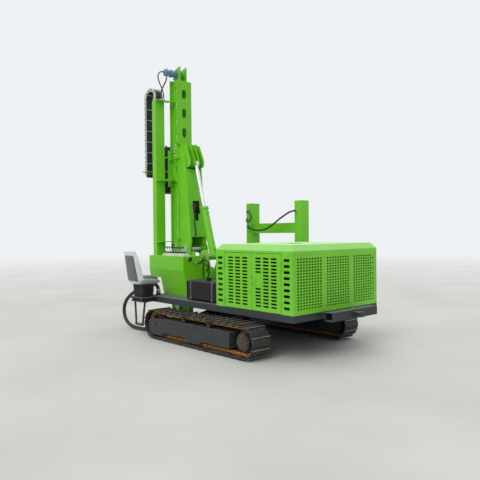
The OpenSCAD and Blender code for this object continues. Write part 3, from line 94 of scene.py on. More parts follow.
def ramp(tree, value, low, high, to=(0, 1)):
    return addNode(tree, "MapRange", {0: value, 1: low, 2: high, 3: to[0], 4: to[1]}).outputs[0]


def blendColour(tree, share, a, b):
    return addNode(tree, "Mix", {0: share, 6: a, 7: b}, data_type="RGBA").outputs[2]


def noise(tree, place, scale, detail, rough=0.5):
    look = {"Vector": place, "Scale": scale, "Detail": detail, "Roughness": rough}
    return addNode(tree, "TexNoise", look).outputs["Fac"]


def objectPlace(tree):
    return addNode(tree, "TexCoord").outputs["Object"]


def heightOf(tree, vector):
    return addNode(tree, "SeparateXYZ", {0: vector}).outputs["Z"]


def bump(tree, height, strength, distance, **more):
    look = {"Height": height, "Strength": strength, "Distance": distance, **more}
    return addNode(tree, "Bump", look).outputs["Normal"]


def dress(tree, shader, colour=None, rough=None, normal=None):
    for key, value in {"Base Color": colour, "Roughness": rough, "Normal": normal}.items():
        if value is not None:
            tree.links.new(value, shader.inputs[key])


def rgb(r, g, b):
    return (r, g, b, 1)


# Sky: a plain backdrop where it is seen, and a light that grows from the horizon upwards, as under cloud
world = bpy.data.worlds.new("studio")
scene.world = world
world.use_nodes = True
sky = world.node_tree
rays = addNode(sky, "LightPath")
seen = calc(sky, "MAXIMUM", rays.outputs["Is Camera Ray"], rays.outputs["Is Glossy Ray"])
seen = calc(sky, "MAXIMUM", seen, rays.outputs["Is Transmission Ray"])
lookingUp = heightOf(sky, addNode(sky, "TexCoord").outputs["Generated"])
cloud = ramp(sky, lookingUp, 0.0, light["fullFrom"], (light["horizon"], light["overhead"]))
strength = addNode(sky, "Mix", {0: seen, 2: cloud, 3: 1.0}, data_type="FLOAT").outputs[0]
background = sky.nodes["Background"]
sky.links.new(blendColour(sky, seen, light["skyColour"], light["backdrop"]), background.inputs["Color"])
sky.links.new(strength, background.inputs["Strength"])

# Floor, which gives way to the backdrop far from the machine
floorLook = dict(half=90, fade=(8, 34), colour=rgb(0.62, 0.605, 0.57), stain=rgb(0.55, 0.535, 0.50),
                 patches=0.5, grain=90.0, rough=0.85)
corners = [(x * floorLook["half"], y * floorLook["half"], 0) for x, y in ((-1, -1), (1, -1), (1, 1), (-1, 1))]
floorMesh = bpy.data.meshes.new("floor")
floorMesh.from_pydata(corners, [], [(0, 1, 2, 3)])
floor = bpy.data.objects.new("floor", floorMesh)
scene.collection.objects.link(floor)
concrete = bpy.data.materials.new("concrete")
concrete.use_nodes = True
tree = concrete.node_tree
where = objectPlace(tree)
patches = noise(tree, where, floorLook["patches"], 5.0)
grain = noise(tree, where, floorLook["grain"], 3.0)
floorShader = tree.nodes["Principled BSDF"]
floorShader.inputs["Roughness"].default_value = floorLook["rough"]
dress(tree, floorShader, normal=bump(tree, grain, 0.15, 0.003),
      colour=blendColour(tree, ramp(tree, patches, 0.35, 0.7), floorLook["colour"], floorLook["stain"]))
away = addNode(tree, "VectorMath", {0: where}, operation="LENGTH").outputs["Value"]
clear = addNode(tree, "BsdfTransparent").outputs[0]
gone = ramp(tree, away, *floorLook["fade"])
fading = addNode(tree, "MixShader", {0: gone, 1: floorShader.outputs[0], 2: clear})
tree.links.new(fading.outputs[0], tree.nodes["Material Output"].inputs["Surface"])
floorMesh.materials.append(concrete)
print("camera, light and floor stand")


# Finishes
def newFinish(name, rough=0.5, metal=0.0, coat=0.0):
    finish = bpy.data.materials.new(name)
    finish.use_nodes = True
    shader = finish.node_tree.nodes["Principled BSDF"]
    shader.inputs["Roughness"].default_value = rough
    shader.inputs["Metallic"].default_value = metal
    shader.inputs["Coat Weight"].default_value = coat
    shader.inputs["Coat Roughness"].default_value = 0.2
    return finish, finish.node_tree, shader


paintCommon = dict(shine=0.4, dustLow=0.25, dustLeast=0.0, dust=rgb(0.36, 0.31, 0.24), edge=0.004,
                  drift=1.1, specks=11.0, fine=42.0)


def sprayedPaint(name, **look):
    # Two close tones drift over metres, dust lies near the ground, and what faces up is painted paler, partly
    # dust and partly painted light from above, and edges, found where the rounded normal leaves the flat one,
    # are painted paler, partly rubbed wear and partly a painted highlight
    look = {**paintCommon, **look}
    finish, tree, shader = newFinish(name)
    shader.inputs["Specular IOR Level"].default_value = look["shine"]
    place = objectPlace(tree)
    fine = noise(tree, place, look["fine"], 5.0)
    specks = noise(tree, place, look["specks"], 8.0, 0.65)
    drift = ramp(tree, noise(tree, place, look["drift"], 4.0), 0.35, 0.68)
    colour = blendColour(tree, drift, look["colour"], look["shade"])
    flat = addNode(tree, "NewGeometry").outputs["Normal"]
    rounded = addNode(tree, "Bevel", {"Radius": look["edge"]}, samples=4).outputs["Normal"]
    same = addNode(tree, "VectorMath", {0: rounded, 1: flat}, operation="DOT_PRODUCT").outputs["Value"]
    # Edges are painted paler: partly rubbed wear, partly a painted highlight
    rubbed = calc(tree, "MULTIPLY", ramp(tree, same, 0.985, 0.86), look["wear"])
    rubbed = calc(tree, "MULTIPLY", rubbed, ramp(tree, specks, 0.38, 0.62), clamp=True)
    colour = blendColour(tree, rubbed, colour, look["rubbed"])
    # What faces up is painted paler: partly dust, partly painted light from above
    lying = calc(tree, "MULTIPLY", ramp(tree, heightOf(tree, flat), 0.5, 0.95), look["dustTop"])
    thrown = calc(tree, "MULTIPLY", ramp(tree, heightOf(tree, place), 0.9, 0.1), look["dustLow"])
    patchy = ramp(tree, specks, 0.3, 0.65, (look["dustLeast"], 1))
    dust = calc(tree, "MULTIPLY", calc(tree, "MAXIMUM", lying, thrown), patchy, clamp=True)
    rough = ramp(tree, fine, 0.3, 0.7, (look["rough"] - 0.05, look["rough"] + 0.08))
    dress(tree, shader, blendColour(tree, dust, colour, look["dust"]),
          calc(tree, "ADD", rough, calc(tree, "MULTIPLY", dust, 0.35), clamp=True),
          bump(tree, fine, 0.12, 0.0012, Normal=rounded))
    return finish


# Each paint's pale edge tone is partly rubbed wear and partly a painted highlight
greenTones = dict(colour=rgb(0.170, 0.585, 0.016), shade=rgb(0.148, 0.530, 0.013),
                  rubbed=rgb(0.46, 0.80, 0.24), wear=0.6, dustLow=0.2)
# The green's pale up-facing tone is partly dust and partly painted light from above
green = sprayedPaint("greenPaint", **greenTones, rough=0.34, dustTop=0.34, dust=rgb(0.62, 0.76, 0.48))
# The roof's strong, nearly even pale top is mostly painted sky sheen, with some dust
roofGreen = sprayedPaint("roofPaint", **greenTones, rough=0.30, shine=0.6, dustTop=1.15, dustLeast=0.72,
                         dust=rgb(0.52, 0.82, 0.36))
slate = sprayedPaint(
    "slatePaint", colour=rgb(0.034, 0.041, 0.046), shade=rgb(0.027, 0.033, 0.037),
    rubbed=rgb(0.20, 0.20, 0.19), dust=rgb(0.26, 0.25, 0.22),
    rough=0.5, shine=0.3, wear=0.7, dustTop=0.62, dustLeast=0.45, dustLow=0.06)
frameSlate = sprayedPaint(
    "frameSlate", colour=rgb(0.034, 0.041, 0.047), shade=rgb(0.028, 0.034, 0.040),
    rubbed=rgb(0.16, 0.16, 0.15), dust=rgb(0.22, 0.19, 0.145),
    rough=0.52, shine=0.25, wear=0.5, dustTop=1.0, dustLow=0.10)
engineGrey = sprayedPaint(
    "engineGrey", colour=rgb(0.035, 0.037, 0.04), shade=rgb(0.025, 0.027, 0.03),
    rubbed=rgb(0.12, 0.12, 0.12), rough=0.55, wear=0.4, dustTop=0.3)
tankBlack = sprayedPaint(
    "tankBlack", colour=rgb(0.012, 0.012, 0.012), shade=rgb(0.018, 0.017, 0.016),
    rubbed=rgb(0.09, 0.09, 0.09), dust=rgb(0.16, 0.155, 0.14),
    rough=0.5, shine=0.2, wear=0.35, dustTop=0.6, dustLow=0.05)
motorBlue = sprayedPaint(
    "motorBlue", colour=rgb(0.095, 0.27, 0.44), shade=rgb(0.075, 0.22, 0.37),
    rubbed=rgb(0.35, 0.45, 0.52), rough=0.4, wear=0.6, dustTop=0.2)

# In metres: the belt's middle, half its wheelbase, its axles' height, and the radii of plates and grousers
beltZones = dict(middle=-0.1105, half=1.14, height=0.2635, plate=0.2265, tip=0.2635)
# The dark rust tones are partly rust and partly painted shade in the gaps between the link plates
trackTones = dict(steel=(rgb(0.036, 0.038, 0.038), rgb(0.062, 0.056, 0.048)),
                  rust=(rgb(0.13, 0.058, 0.020), rgb(0.050, 0.030, 0.018)),
                  bright=rgb(0.52, 0.51, 0.48), mud=rgb(0.24, 0.205, 0.155), brightShare=0.9, mudShare=0.36)


def trackMetal():
    # How far a point lies from the line between the two wheel axes tells link, shoe and grouser tip
    finish, tree, shader = newFinish("trackMetal", metal=0.35)
    place = objectPlace(tree)
    part = addNode(tree, "SeparateXYZ", {0: place})
    along = calc(tree, "ABSOLUTE", calc(tree, "SUBTRACT", part.outputs["X"], beltZones["middle"]))
    past = calc(tree, "MAXIMUM", calc(tree, "SUBTRACT", along, beltZones["half"]), 0.0)
    up = calc(tree, "SUBTRACT", part.outputs["Z"], beltZones["height"])
    squares = calc(tree, "ADD", calc(tree, "POWER", past, 2.0), calc(tree, "POWER", up, 2.0))
    radius = calc(tree, "SQRT", squares)
    blotch = noise(tree, place, 9.0, 8.0, 0.7)
    fine = noise(tree, place, 60.0, 5.0)
    steel = blendColour(tree, ramp(tree, blotch, 0.4, 0.65), *trackTones["steel"])
    # Inside the plates' radius: dark rust, darkened further as painted shade in the gaps between link plates
    rust = blendColour(tree, ramp(tree, blotch, 0.35, 0.62), *trackTones["rust"])
    inside = ramp(tree, radius, beltZones["plate"] + 0.001, beltZones["plate"] - 0.002)
    colour = blendColour(tree, inside, steel, rust)
    tips = ramp(tree, radius, beltZones["tip"] - 0.010, beltZones["tip"] - 0.001)
    bright = calc(tree, "MULTIPLY", tips, ramp(tree, fine, 0.40, 0.60))
    bright = calc(tree, "MULTIPLY", bright, trackTones["brightShare"])
    colour = blendColour(tree, bright, colour, trackTones["bright"])
    facing = heightOf(tree, addNode(tree, "NewGeometry").outputs["Normal"])
    mud = calc(tree, "MULTIPLY", ramp(tree, facing, 0.4, 0.95), ramp(tree, blotch, 0.42, 0.58))
    colour = blendColour(tree, calc(tree, "MULTIPLY", mud, trackTones["mudShare"]), colour, trackTones["mud"])
    dress(tree, shader, colour, ramp(tree, fine, 0.3, 0.7, (0.45, 0.8)), bump(tree, blotch, 0.4, 0.003))
    return finish


def castMetal(name, dark, pale, rough, metal, scale=14.0, depth=0.25):
    # Blotches of two tones with a fine grain in the gloss
    finish, tree, shader = newFinish(name, metal=metal)
    place = objectPlace(tree)
    blotch = noise(tree, place, scale, 7.0)
    fine = noise(tree, place, scale * 9, 3.0)
    dress(tree, shader, blendColour(tree, ramp(tree, blotch, 0.35, 0.65), dark, pale),
          ramp(tree, fine, 0.3, 0.7, (rough - 0.08, rough + 0.12)), bump(tree, fine, depth, 0.001))
    return finish


rodLook = dict(squeeze=(4.0, 4.0, 260.0), bright=rgb(0.86, 0.87, 0.88), dull=rgb(0.74, 0.75, 0.77),
               rough=(0.10, 0.24))


def polishedRod():
    # Fine rings round the rod: noise squeezed along its length
    finish, tree, shader = newFinish("polishedRod", metal=1.0)
    squeezed = addNode(tree, "Mapping", {"Vector": objectPlace(tree), "Scale": rodLook["squeeze"]}).outputs[0]
    rings = noise(tree, squeezed, 3.0, 2.0)
    dress(tree, shader, blendColour(tree, rings, rodLook["bright"], rodLook["dull"]),
          ramp(tree, rings, 0.3, 0.7, rodLook["rough"]))
    return finish


def mouldedRubber(name, colour, grey, scale, rough, depth=0.3, coat=0.0):
    # Small cells pressed into the surface, under a slow bloom of a greyer tone
    finish, tree, shader = newFinish(name, coat=coat)
    place = objectPlace(tree)
    cells = addNode(tree, "TexVoronoi", {"Vector": place, "Scale": scale}).outputs["Distance"]
    bloom = noise(tree, place, 7.0, 6.0)
    dress(tree, shader, blendColour(tree, ramp(tree, bloom, 0.4, 0.75), colour, grey),
          ramp(tree, bloom, 0.3, 0.7, (rough - 0.07, rough + 0.1)), bump(tree, cells, depth, 0.0008))
    return finish


hoseLook = dict(bandsPerMetre=95.0, cover=rgb(0.012, 0.012, 0.013), scuffed=rgb(0.055, 0.052, 0.048),
                rough=(0.42, 0.66))


def hoseCover():
    # Cloth-wrapped rubber: slanted bands counted along the hose's own length and turn
    finish, tree, shader = newFinish("hoseCover")
    strip = addNode(tree, "SeparateXYZ", {0: addNode(tree, "UVMap").outputs[0]})
    turns = calc(tree, "MULTIPLY_ADD", strip.outputs["X"], hoseLook["bandsPerMetre"], strip.outputs["Y"])
    band = calc(tree, "PINGPONG", turns, 0.5)
    scuff = noise(tree, objectPlace(tree), 16.0, 7.0)
    worn = ramp(tree, scuff, 0.48, 0.72)
    colour = blendColour(tree, worn, hoseLook["cover"], hoseLook["scuffed"])
    dress(tree, shader, colour, ramp(tree, scuff, 0.3, 0.7, hoseLook["rough"]), bump(tree, band, 0.5, 0.0012))
    return finish


# The height of the energy chain's lowest link and its pitch are in metres
chainLook = dict(low=2.9, pitch=0.107, seam=rgb(0.06, 0.06, 0.06), seamShare=0.75,
                 plastic=rgb(0.56, 0.60, 0.55), grimy=rgb(0.42, 0.45, 0.41))


def chainPlastic():
    # Dark seams between links, one for each pitch of height
    finish, tree, shader = newFinish("chainPlastic")
    place = objectPlace(tree)
    above = calc(tree, "SUBTRACT", heightOf(tree, place), chainLook["low"])
    inLink = calc(tree, "PINGPONG", calc(tree, "DIVIDE", above, chainLook["pitch"]), 0.5)
    seam = ramp(tree, inLink, 0.05, 0.02)
    grime = ramp(tree, noise(tree, place, 12.0, 6.0), 0.4, 0.7)
    colour = blendColour(tree, grime, chainLook["plastic"], chainLook["grimy"])
    drawn = calc(tree, "MULTIPLY", seam, chainLook["seamShare"])
    dress(tree, shader, blendColour(tree, drawn, colour, chainLook["seam"]),
          normal=bump(tree, seam, 0.6, -0.002))
    return finish


# The valve block ends and the knobs begin between these heights in metres
leverLook = dict(blockEnds=(1.4735, 1.4745), knobsBegin=(1.555, 1.560), block=rgb(0.72, 0.86, 0.66),
                 greasy=rgb(0.40, 0.48, 0.37), rod=rgb(0.50, 0.55, 0.50), knob=rgb(0.02, 0.02, 0.022))


def leverBank():
    # The valve block is pale and greasy, the levers above it are plain steel with dark knobs
    finish, tree, shader = newFinish("leverBank")
    place = objectPlace(tree)
    height = heightOf(tree, place)
    grease = noise(tree, place, 24.0, 6.0)
    block = blendColour(tree, ramp(tree, grease, 0.42, 0.7), leverLook["block"], leverLook["greasy"])
    knob = ramp(tree, height, *leverLook["knobsBegin"])
    rod = blendColour(tree, knob, leverLook["rod"], leverLook["knob"])
    dress(tree, shader, blendColour(tree, ramp(tree, height, *leverLook["blockEnds"]), block, rod),
          ramp(tree, grease, 0.3, 0.7, (0.3, 0.6)))
    return finish


trackFinish = trackMetal()
wheelMetal = castMetal("wheelMetal", rgb(0.045, 0.04, 0.036), rgb(0.12, 0.08, 0.05), rough=0.6, metal=0.4)
zinc = castMetal(
    "zincPlate", rgb(0.50, 0.50, 0.49), rgb(0.62, 0.61, 0.57), rough=0.34, metal=0.9, scale=30.0, depth=0.1)
darkBolt = castMetal(
    "darkBolt", rgb(0.06, 0.058, 0.055), rgb(0.12, 0.10, 0.08), rough=0.5, metal=0.7, scale=30.0, depth=0.15)
strapMetal = castMetal(
    "strapMetal", rgb(0.10, 0.105, 0.11), rgb(0.17, 0.175, 0.18),
    rough=0.42, metal=0.5, scale=18.0, depth=0.1)
linkRust = castMetal(
    "linkRust", rgb(0.66, 0.29, 0.035), rgb(0.36, 0.145, 0.024), rough=0.7, metal=0.0, scale=22.0, depth=0.5)
rodMetal = polishedRod()
bellowsRubber = mouldedRubber(
    "bellowsRubber", rgb(0.014, 0.014, 0.015), rgb(0.040, 0.039, 0.037), scale=260.0, rough=0.62)
seatVinyl = mouldedRubber(
    "seatVinyl", rgb(0.085, 0.088, 0.092), rgb(0.12, 0.122, 0.125),
    scale=420.0, rough=0.42, depth=0.35, coat=0.6)
shellWhite = mouldedRubber(
    "shellWhite", rgb(0.66, 0.69, 0.71), rgb(0.56, 0.59, 0.61),
    scale=500.0, rough=0.34, depth=0.06, coat=0.7)
hoseBlack = hoseCover()
chainPale = chainPlastic()
leverFinish = leverBank()

# Nodes that aren't named here are green
nodeFinishes = {
    roofGreen: ["hood_roof"],
    slate: ["car_body", "deck", "bumper", "seat_base", "step"],
    frameSlate: ["track_frame_left", "track_frame_right"],
    trackFinish: ["track_left", "track_right"],
    wheelMetal: ["track_wheels_left", "track_wheels_right", "sprocket_left", "sprocket_right"],
    engineGrey: ["engine", "hammer_body"],
    tankBlack: ["fuel_tank", "hammer_cap"],
    strapMetal: ["tank_straps"],
    zinc: ["base_pins"],
    rodMetal: ["cylinder_rod"],
    leverFinish: ["levers"],
    motorBlue: ["head_motor"],
    chainPale: ["energy_chain"],
    hoseBlack: ["chain_hoses"],
}
finishOf = {name: finish for finish, names in nodeFinishes.items() for name in names}
for name, node in nodes.items():
    finish = finishOf.get(name, green)
    if not node.data.materials:
        node.data.materials.append(finish)
    for slot in node.material_slots:
        slot.material = finish
print("finishes mixed:", len(bpy.data.materials))


# Making surfaces: a shape is its points and its faces
def addPiece(name, points, faces, finish, body, slot=None, uv=None, sharp=0.6):
    # points are machine millimetres; uv, where given, has a row for each point
    mesh = bpy.data.meshes.new(name)
    mesh.from_pydata(toFrame(points).tolist(), [], [list(map(int, f)) for f in faces])
    mesh.materials.append(finish)
    if uv is not None:
        corner = np.zeros(len(mesh.loops), np.int32)
        mesh.loops.foreach_get("vertex_index", corner)
        layer = mesh.uv_layers.new(name="along")
        layer.data.foreach_set("uv", np.asarray(uv, np.float32)[corner].ravel())
    mesh.shade_smooth()
    mesh.set_sharp_from_angle(angle=sharp)
    mesh.update()
    piece = bpy.data.objects.new(name, mesh)
    scene.collection.objects.link(piece)
    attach(piece, body)
    return piece


def gridFaces(rows, cols, roundCols=True):
    # Quads between neighbouring rows and columns of a grid, the columns closing on themselves
    i, j = np.meshgrid(np.arange(rows - 1), np.arange(cols if roundCols else cols - 1), indexing="ij")
    i, j = i.ravel(), j.ravel()
    k = (j + 1) % cols
    return np.stack([i * cols + j, i * cols + k, (i + 1) * cols + k, (i + 1) * cols + j], 1)


def capped(rows, cols):
    # A tube's quads and its two end faces
    body = gridFaces(rows, cols).tolist()
    return body + [list(range(cols))[::-1], list(range((rows - 1) * cols, rows * cols))]


def turnOf(count, start=0.0):
    # Even angles once round
    return start + np.arange(count) / count * 2 * np.pi


def unit(v):
    v = np.asarray(v, float)
    return v / np.linalg.norm(v, axis=-1, keepdims=True)


def across(axis):
    # Two directions square to each axis and to each other
    axis = unit(np.atleast_2d(axis))
    spare = np.where(np.abs(axis[:, 2:3]) < 0.9, [[0.0, 0.0, 1.0]], [[1.0, 0.0, 0.0]])
    n = unit(np.cross(axis, spare))
    return n, np.cross(axis, n)


def turned(profile, sides=24):
    # Rings of radius r at height h along Z, from rows of h and r
    profile = np.asarray(profile, float)
    a = turnOf(sides)
    ring = np.stack([np.cos(a), np.sin(a)], 1)
    points = np.concatenate(
        [profile[:, None, 1:] * ring[None], np.repeat(profile[:, None, :1], sides, 1)], axis=2)
    return points.reshape(-1, 3), capped(len(profile), sides)


def copies(shape, places, axes):
    # Each point of the shape is carried to every place: x and y across the axis, z along it
    points, faces = shape
    places = np.atleast_2d(np.asarray(places, float))
    axes = np.broadcast_to(unit(np.atleast_2d(np.asarray(axes, float))), places.shape)
    n, b = across(axes)
    made = (places[:, None] + points[None, :, 0:1] * n[:, None] + points[None, :, 1:2] * b[:, None]
            + points[None, :, 2:3] * axes[:, None])
    shift = np.arange(len(places)) * len(points)
    return made.reshape(-1, 3), [[int(v + s) for v in f] for s in shift for f in faces]


def together(*shapes):
    # One shape of many, each one's faces counted on from the points before it
    points, faces, count = [], [], 0
    for p, f in shapes:
        points.append(p)
        faces += [[int(v + count) for v in face] for face in f]
        count += len(p)
    return np.concatenate(points), faces


def mirrored(shape):
    # The right side's copy, with its faces turned back outwards
    points, faces = shape
    return points * [1, -1, 1], [list(f)[::-1] for f in faces]


def bothSides(shape):
    # A left side's shape and its mirror image across the machine's middle
    return together(shape, mirrored(shape))


def plates(boxes):
    # Closed blocks from rows of x0, x1, y0, y1, z0, z1
    b = np.atleast_2d(np.asarray(boxes, float))
    pick = np.array([[0, 2, 4], [1, 2, 4], [1, 3, 4], [0, 3, 4], [0, 2, 5], [1, 2, 5], [1, 3, 5], [0, 3, 5]])
    points = b[:, pick].reshape(-1, 3)
    side = np.array([[0, 3, 2, 1], [4, 5, 6, 7], [0, 1, 5, 4], [1, 2, 6, 5], [2, 3, 7, 6], [3, 0, 4, 7]])
    return points, (side[None] + 8 * np.arange(len(b))[:, None, None]).reshape(-1, 4).tolist()


def hexBolt(r, h):
    # A washer ring under a six-sided head with a chamfered top
    washer = turned([[0, r * 1.45], [h * 0.18, r * 1.45], [h * 0.2, r * 1.35]], 12)
    head = turned([[h * 0.19, r], [h * 0.85, r], [h, r * 0.84]], 6)
    return together(washer, head)


def ringOf(count, radius, centre, axis, start=0.0):
    # Places at even angles on a circle round an axis
    a = turnOf(count, start)
    n, b = across(axis)
    return np.asarray(centre, float) + radius * (np.cos(a)[:, None] * n[0] + np.sin(a)[:, None] * b[0])


def boltRing(axis, bolt, count, radius, centre, start=0.0):
    # bolt is its head's radius and height
    return copies(hexBolt(*bolt), ringOf(count, radius, centre, axis, start), axis)


def rowOfBoxes(box, count, step):
    # A box of x0, x1, y0, y1, z0, z1 over and over, one step further forward each time
    return np.asarray(box, float) + step * np.arange(count)[:, None] * [1, 1, 0, 0, 0, 0]


def softenEdges(piece, width, angle=40):
    # width is in metres, and only edges sharper than the angle are rounded
    bevel = piece.modifiers.new("edges", "BEVEL")
    bevel.width = width
    bevel.segments = 2
    bevel.limit_method = "ANGLE"
    bevel.angle_limit = math.radians(angle)


def giveWall(piece, thickness, offset):
    # thickness is in metres; offset 0 spreads it to both sides, -1 puts it all inside
    wall = piece.modifiers.new("wall", "SOLIDIFY")
    wall.thickness = thickness
    wall.offset = offset


# Hoses
def smoothRoute(route, step=9):
    # Each stretch is a cubic through its two points, its slope there half the step between their neighbours
    p = np.asarray(route, float)
    p = np.concatenate([[2 * p[0] - p[1]], p, [2 * p[-1] - p[-2]]])
    t = (np.arange(step) / step)[None, :, None]
    a, b, c, d = (p[k:len(p) - 3 + k, None] for k in range(4))
    curve = 0.5 * (2 * b + (c - a) * t + (2 * a - 5 * b + 4 * c - d) * t**2 + (3 * b - a - 3 * c + d) * t**3)
    return np.concatenate([curve.reshape(-1, 3), p[-2:-1]])


def hoseAlong(path, radius, sides=20):
    # A ring stands square to the path at every point and is carried on without twisting
    run = unit(np.gradient(path, axis=0))
    n = [across(run[0])[0][0]]
    for t in run[1:]:
        n.append(unit(n[-1] - (n[-1] @ t) * t))
    n = np.array(n)
    b = np.cross(run, n)
    a = turnOf(sides)[None, :, None]
    rings = path[:, None] + radius * (np.cos(a) * n[:, None] + np.sin(a) * b[:, None])
    gone = np.concatenate([[0], np.cumsum(np.linalg.norm(np.diff(path, axis=0), axis=1))]) / 1000
    uv = np.stack([np.repeat(gone, sides), np.tile(np.arange(sides) / sides, len(path))], 1)
    return rings.reshape(-1, 3), capped(len(path), sides), uv, gone[-1]


def crimpedEnd(r, grip):
    # A sleeve pressed over the hose in three ridges, and a hex nut
    sleeve = turned([[0.5, r * 0.9], [1, r * 1.28], [grip * 0.42, r * 1.28], [grip * 0.44, r * 1.12],
                     [grip * 0.6, r * 1.2], [grip * 0.7, r * 1.12], [grip * 0.8, r * 1.2],
                     [grip * 0.9, r * 1.12], [grip, r * 1.06], [grip + 1, r * 0.9]], 24)
    nut = turned([[1, r * 1.3], [grip * 0.40, r * 1.5], [grip * 0.42, r * 1.3]], 6)
    return together(sleeve, nut)


hoses = {
    "loopHose": dict(node="loop_hose", body="carrier", radius=33, grip=70, stiffness="stiff", route=[
        [1570, 830, 742.3], [1570, 830, 795], [1588, 831, 842], [1636, 836, 880], [1712, 845, 900],
        [1796, 858, 898], [1884, 882, 872], [1980, 915, 826], [2110, 952, 755], [2270, 985, 665],
        [2420, 1000, 545], [2510, 1000, 395], [2495, 1000, 235], [2390, 995, 115], [2220, 985, 55],
        [2020, 965, 42], [1800, 925, 42], [1580, 850, 55], [1370, 740, 100], [1150, 600, 185],
        [950, 485, 285], [830, 425, 350], [740, 396, 393], [670, 390, 410], [620.3, 390, 410]]),
    "rackHose": dict(node="rack_hose", body="carrier", radius=16, grip=34, stiffness="medium", route=[
        [1020, -1019.7, 1960], [1020, -985, 1960], [1008, -935, 1955], [975, -893, 1945], [925, -868, 1930],
        [860, -862, 1912], [740, -870, 1885], [600, -880, 1880], [460, -885, 1905], [330, -885, 1955],
        [210, -884, 2020], [90, -882, 2090], [-30, -882, 2150], [-120, -890, 2195], [-180, -918, 2222],
        [-208, -958, 2231], [-215, -990, 2232], [-215, -1019.7, 2232]]),
    "ringHose": dict(node="rack_hose", body="carrier", radius=13, grip=30, stiffness="medium", route=[
        [1075, -1019.7, 2235], [1075, -987, 2235], [1055, -950, 2250], [1010, -932, 2262], [950, -925, 2245],
        [910, -922, 2200], [898, -920, 2145], [915, -920, 2090], [960, -922, 2055], [1015, -930, 2050],
        [1060, -948, 2070], [1082, -972, 2105], [1086, -995, 2122], [1086, -1019.7, 2122]]),
    "headHoseA": dict(node="head_hoses", body="mast", radius=13, grip=32, stiffness="medium", route=[
        [2000, 300, 4929.7], [2000, 300, 4895], [2001, 312, 4835], [2002, 345, 4770], [2002, 385, 4700],
        [2000, 418, 4630], [1997, 433, 4560], [1995, 437, 4500], [1995, 437, 4430.3]]),
    "headHoseB": dict(node="head_hoses", body="mast", radius=11, grip=32, stiffness="medium", route=[
        [1965, 355.3, 4990], [1965, 395, 4990], [1965, 440, 4982], [1965, 485, 4958], [1965, 512, 4918],
        [1965, 520, 4865], [1965, 507, 4805], [1965, 476, 4738], [1966, 440, 4670], [1966, 412, 4605],
        [1966, 396, 4545], [1966, 390, 4490], [1966, 390, 4430.3]]),
    "frameHose": dict(node="frame_hoses", body="mast_frame", radius=14, grip=30, stiffness="medium", route=[
        [1470.8, 104, 2400], [1439, 104, 2403.3], [1405, 106, 2390], [1382, 109, 2355], [1374, 112, 2300],
        [1374, 114, 2220], [1374, 116, 2140], [1372, 117, 2060], [1366, 118, 1980], [1358, 117, 1910],
        [1350, 115, 1860], [1350, 112, 1825], [1364, 110, 1801], [1383.9, 110, 1792.5], [1407.8, 110, 1790]]),
    "footHoseA": dict(node="foot_hoses", body="carrier", radius=13, grip=24, stiffness="medium", route=[
        [932.7, 340, 1330], [900, 340, 1330], [840, 338, 1345], [780, 331, 1345], [738, 320, 1310],
        [725, 308, 1255], [745, 296, 1200], [794, 286, 1166], [838, 272, 1160], [862, 256, 1158],
        [862, 230.3, 1158]]),
    "footHoseB": dict(node="foot_hoses", body="carrier", radius=13, grip=24, stiffness="medium", route=[
        [932.7, 430, 1290], [900, 430, 1290], [840, 426, 1300], [770, 412, 1305], [710, 390, 1280],
        [682, 362, 1220], [690, 330, 1140], [740, 300, 1070], [800, 278, 1038], [840, 260, 1035],
        [840, 230.3, 1035]]),
}
for name, hose in hoses.items():
    path = smoothRoute(hose["route"])
    points, faces, uv, length = hoseAlong(path, hose["radius"])
    piece = addPiece(name, points, faces, hoseBlack, hose["body"], "hose_rubber", uv, sharp=1.2)
    ends = np.array([path[0], path[-1]])
    inwards = np.array([path[1] - path[0], path[-2] - path[-1]])
    fitting = addPiece(name + "Ends", *copies(crimpedEnd(hose["radius"], hose["grip"]), ends, inwards),
                       zinc, hose["body"], "strap_steel")
    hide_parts(hose["node"])
print("hoses hung:", len(hoses))

# Seat
seat = dict(
    x=1580, y=1140, half=228, dish=2, wall=0.009, lip=0.0035, rows=61, cols=41,
    # The back narrows by 46 over its last stretch and the pan by 14 over its first
    backTaper=dict(by=46, start=0.86, over=0.14, power=2.2), frontTaper=dict(by=14, over=0.08),
    # Share of the way along, then how far left of the seat's middle and how high the profile runs there
    profile=[[0, -237, 958], [0.06, -232, 934], [0.12, -205, 925], [0.42, 150, 925],
             [0.50, 198, 940], [0.58, 226, 975], [0.66, 240, 1030], [1.0, 310, 1523]],
    # Share of the way along, then how far the wings stand off the profile
    wings=[[0, 16], [0.1, 70], [0.3, 105], [0.5, 120], [0.7, 92], [0.92, 46], [1.0, 22]])


def power(c, e):
    # A cosine or sine raised to a power with its sign kept, which squares a circle up
    return np.sign(c) * np.abs(c) ** e


def seatProfile(v):
    # The pan runs back level and turns up into the back on a long arc: straight stretches smoothed
    # three times by a quarter, a half and a quarter of neighbouring points
    at, out, height = np.array(seat["profile"], float).T
    y = np.interp(v, at, seat["y"] + out)
    z = np.interp(v, at, height)
    for k in range(3):
        y[1:-1] = (y[:-2] + 2 * y[1:-1] + y[2:]) / 4
        z[1:-1] = (z[:-2] + 2 * z[1:-1] + z[2:]) / 4
    return y, z


def squareTo(y, z):
    # The direction square to a profile at each of its points, to its left
    dy, dz = np.gradient(y), np.gradient(z)
    size = np.hypot(dy, dz)
    return -dz / size, dy / size


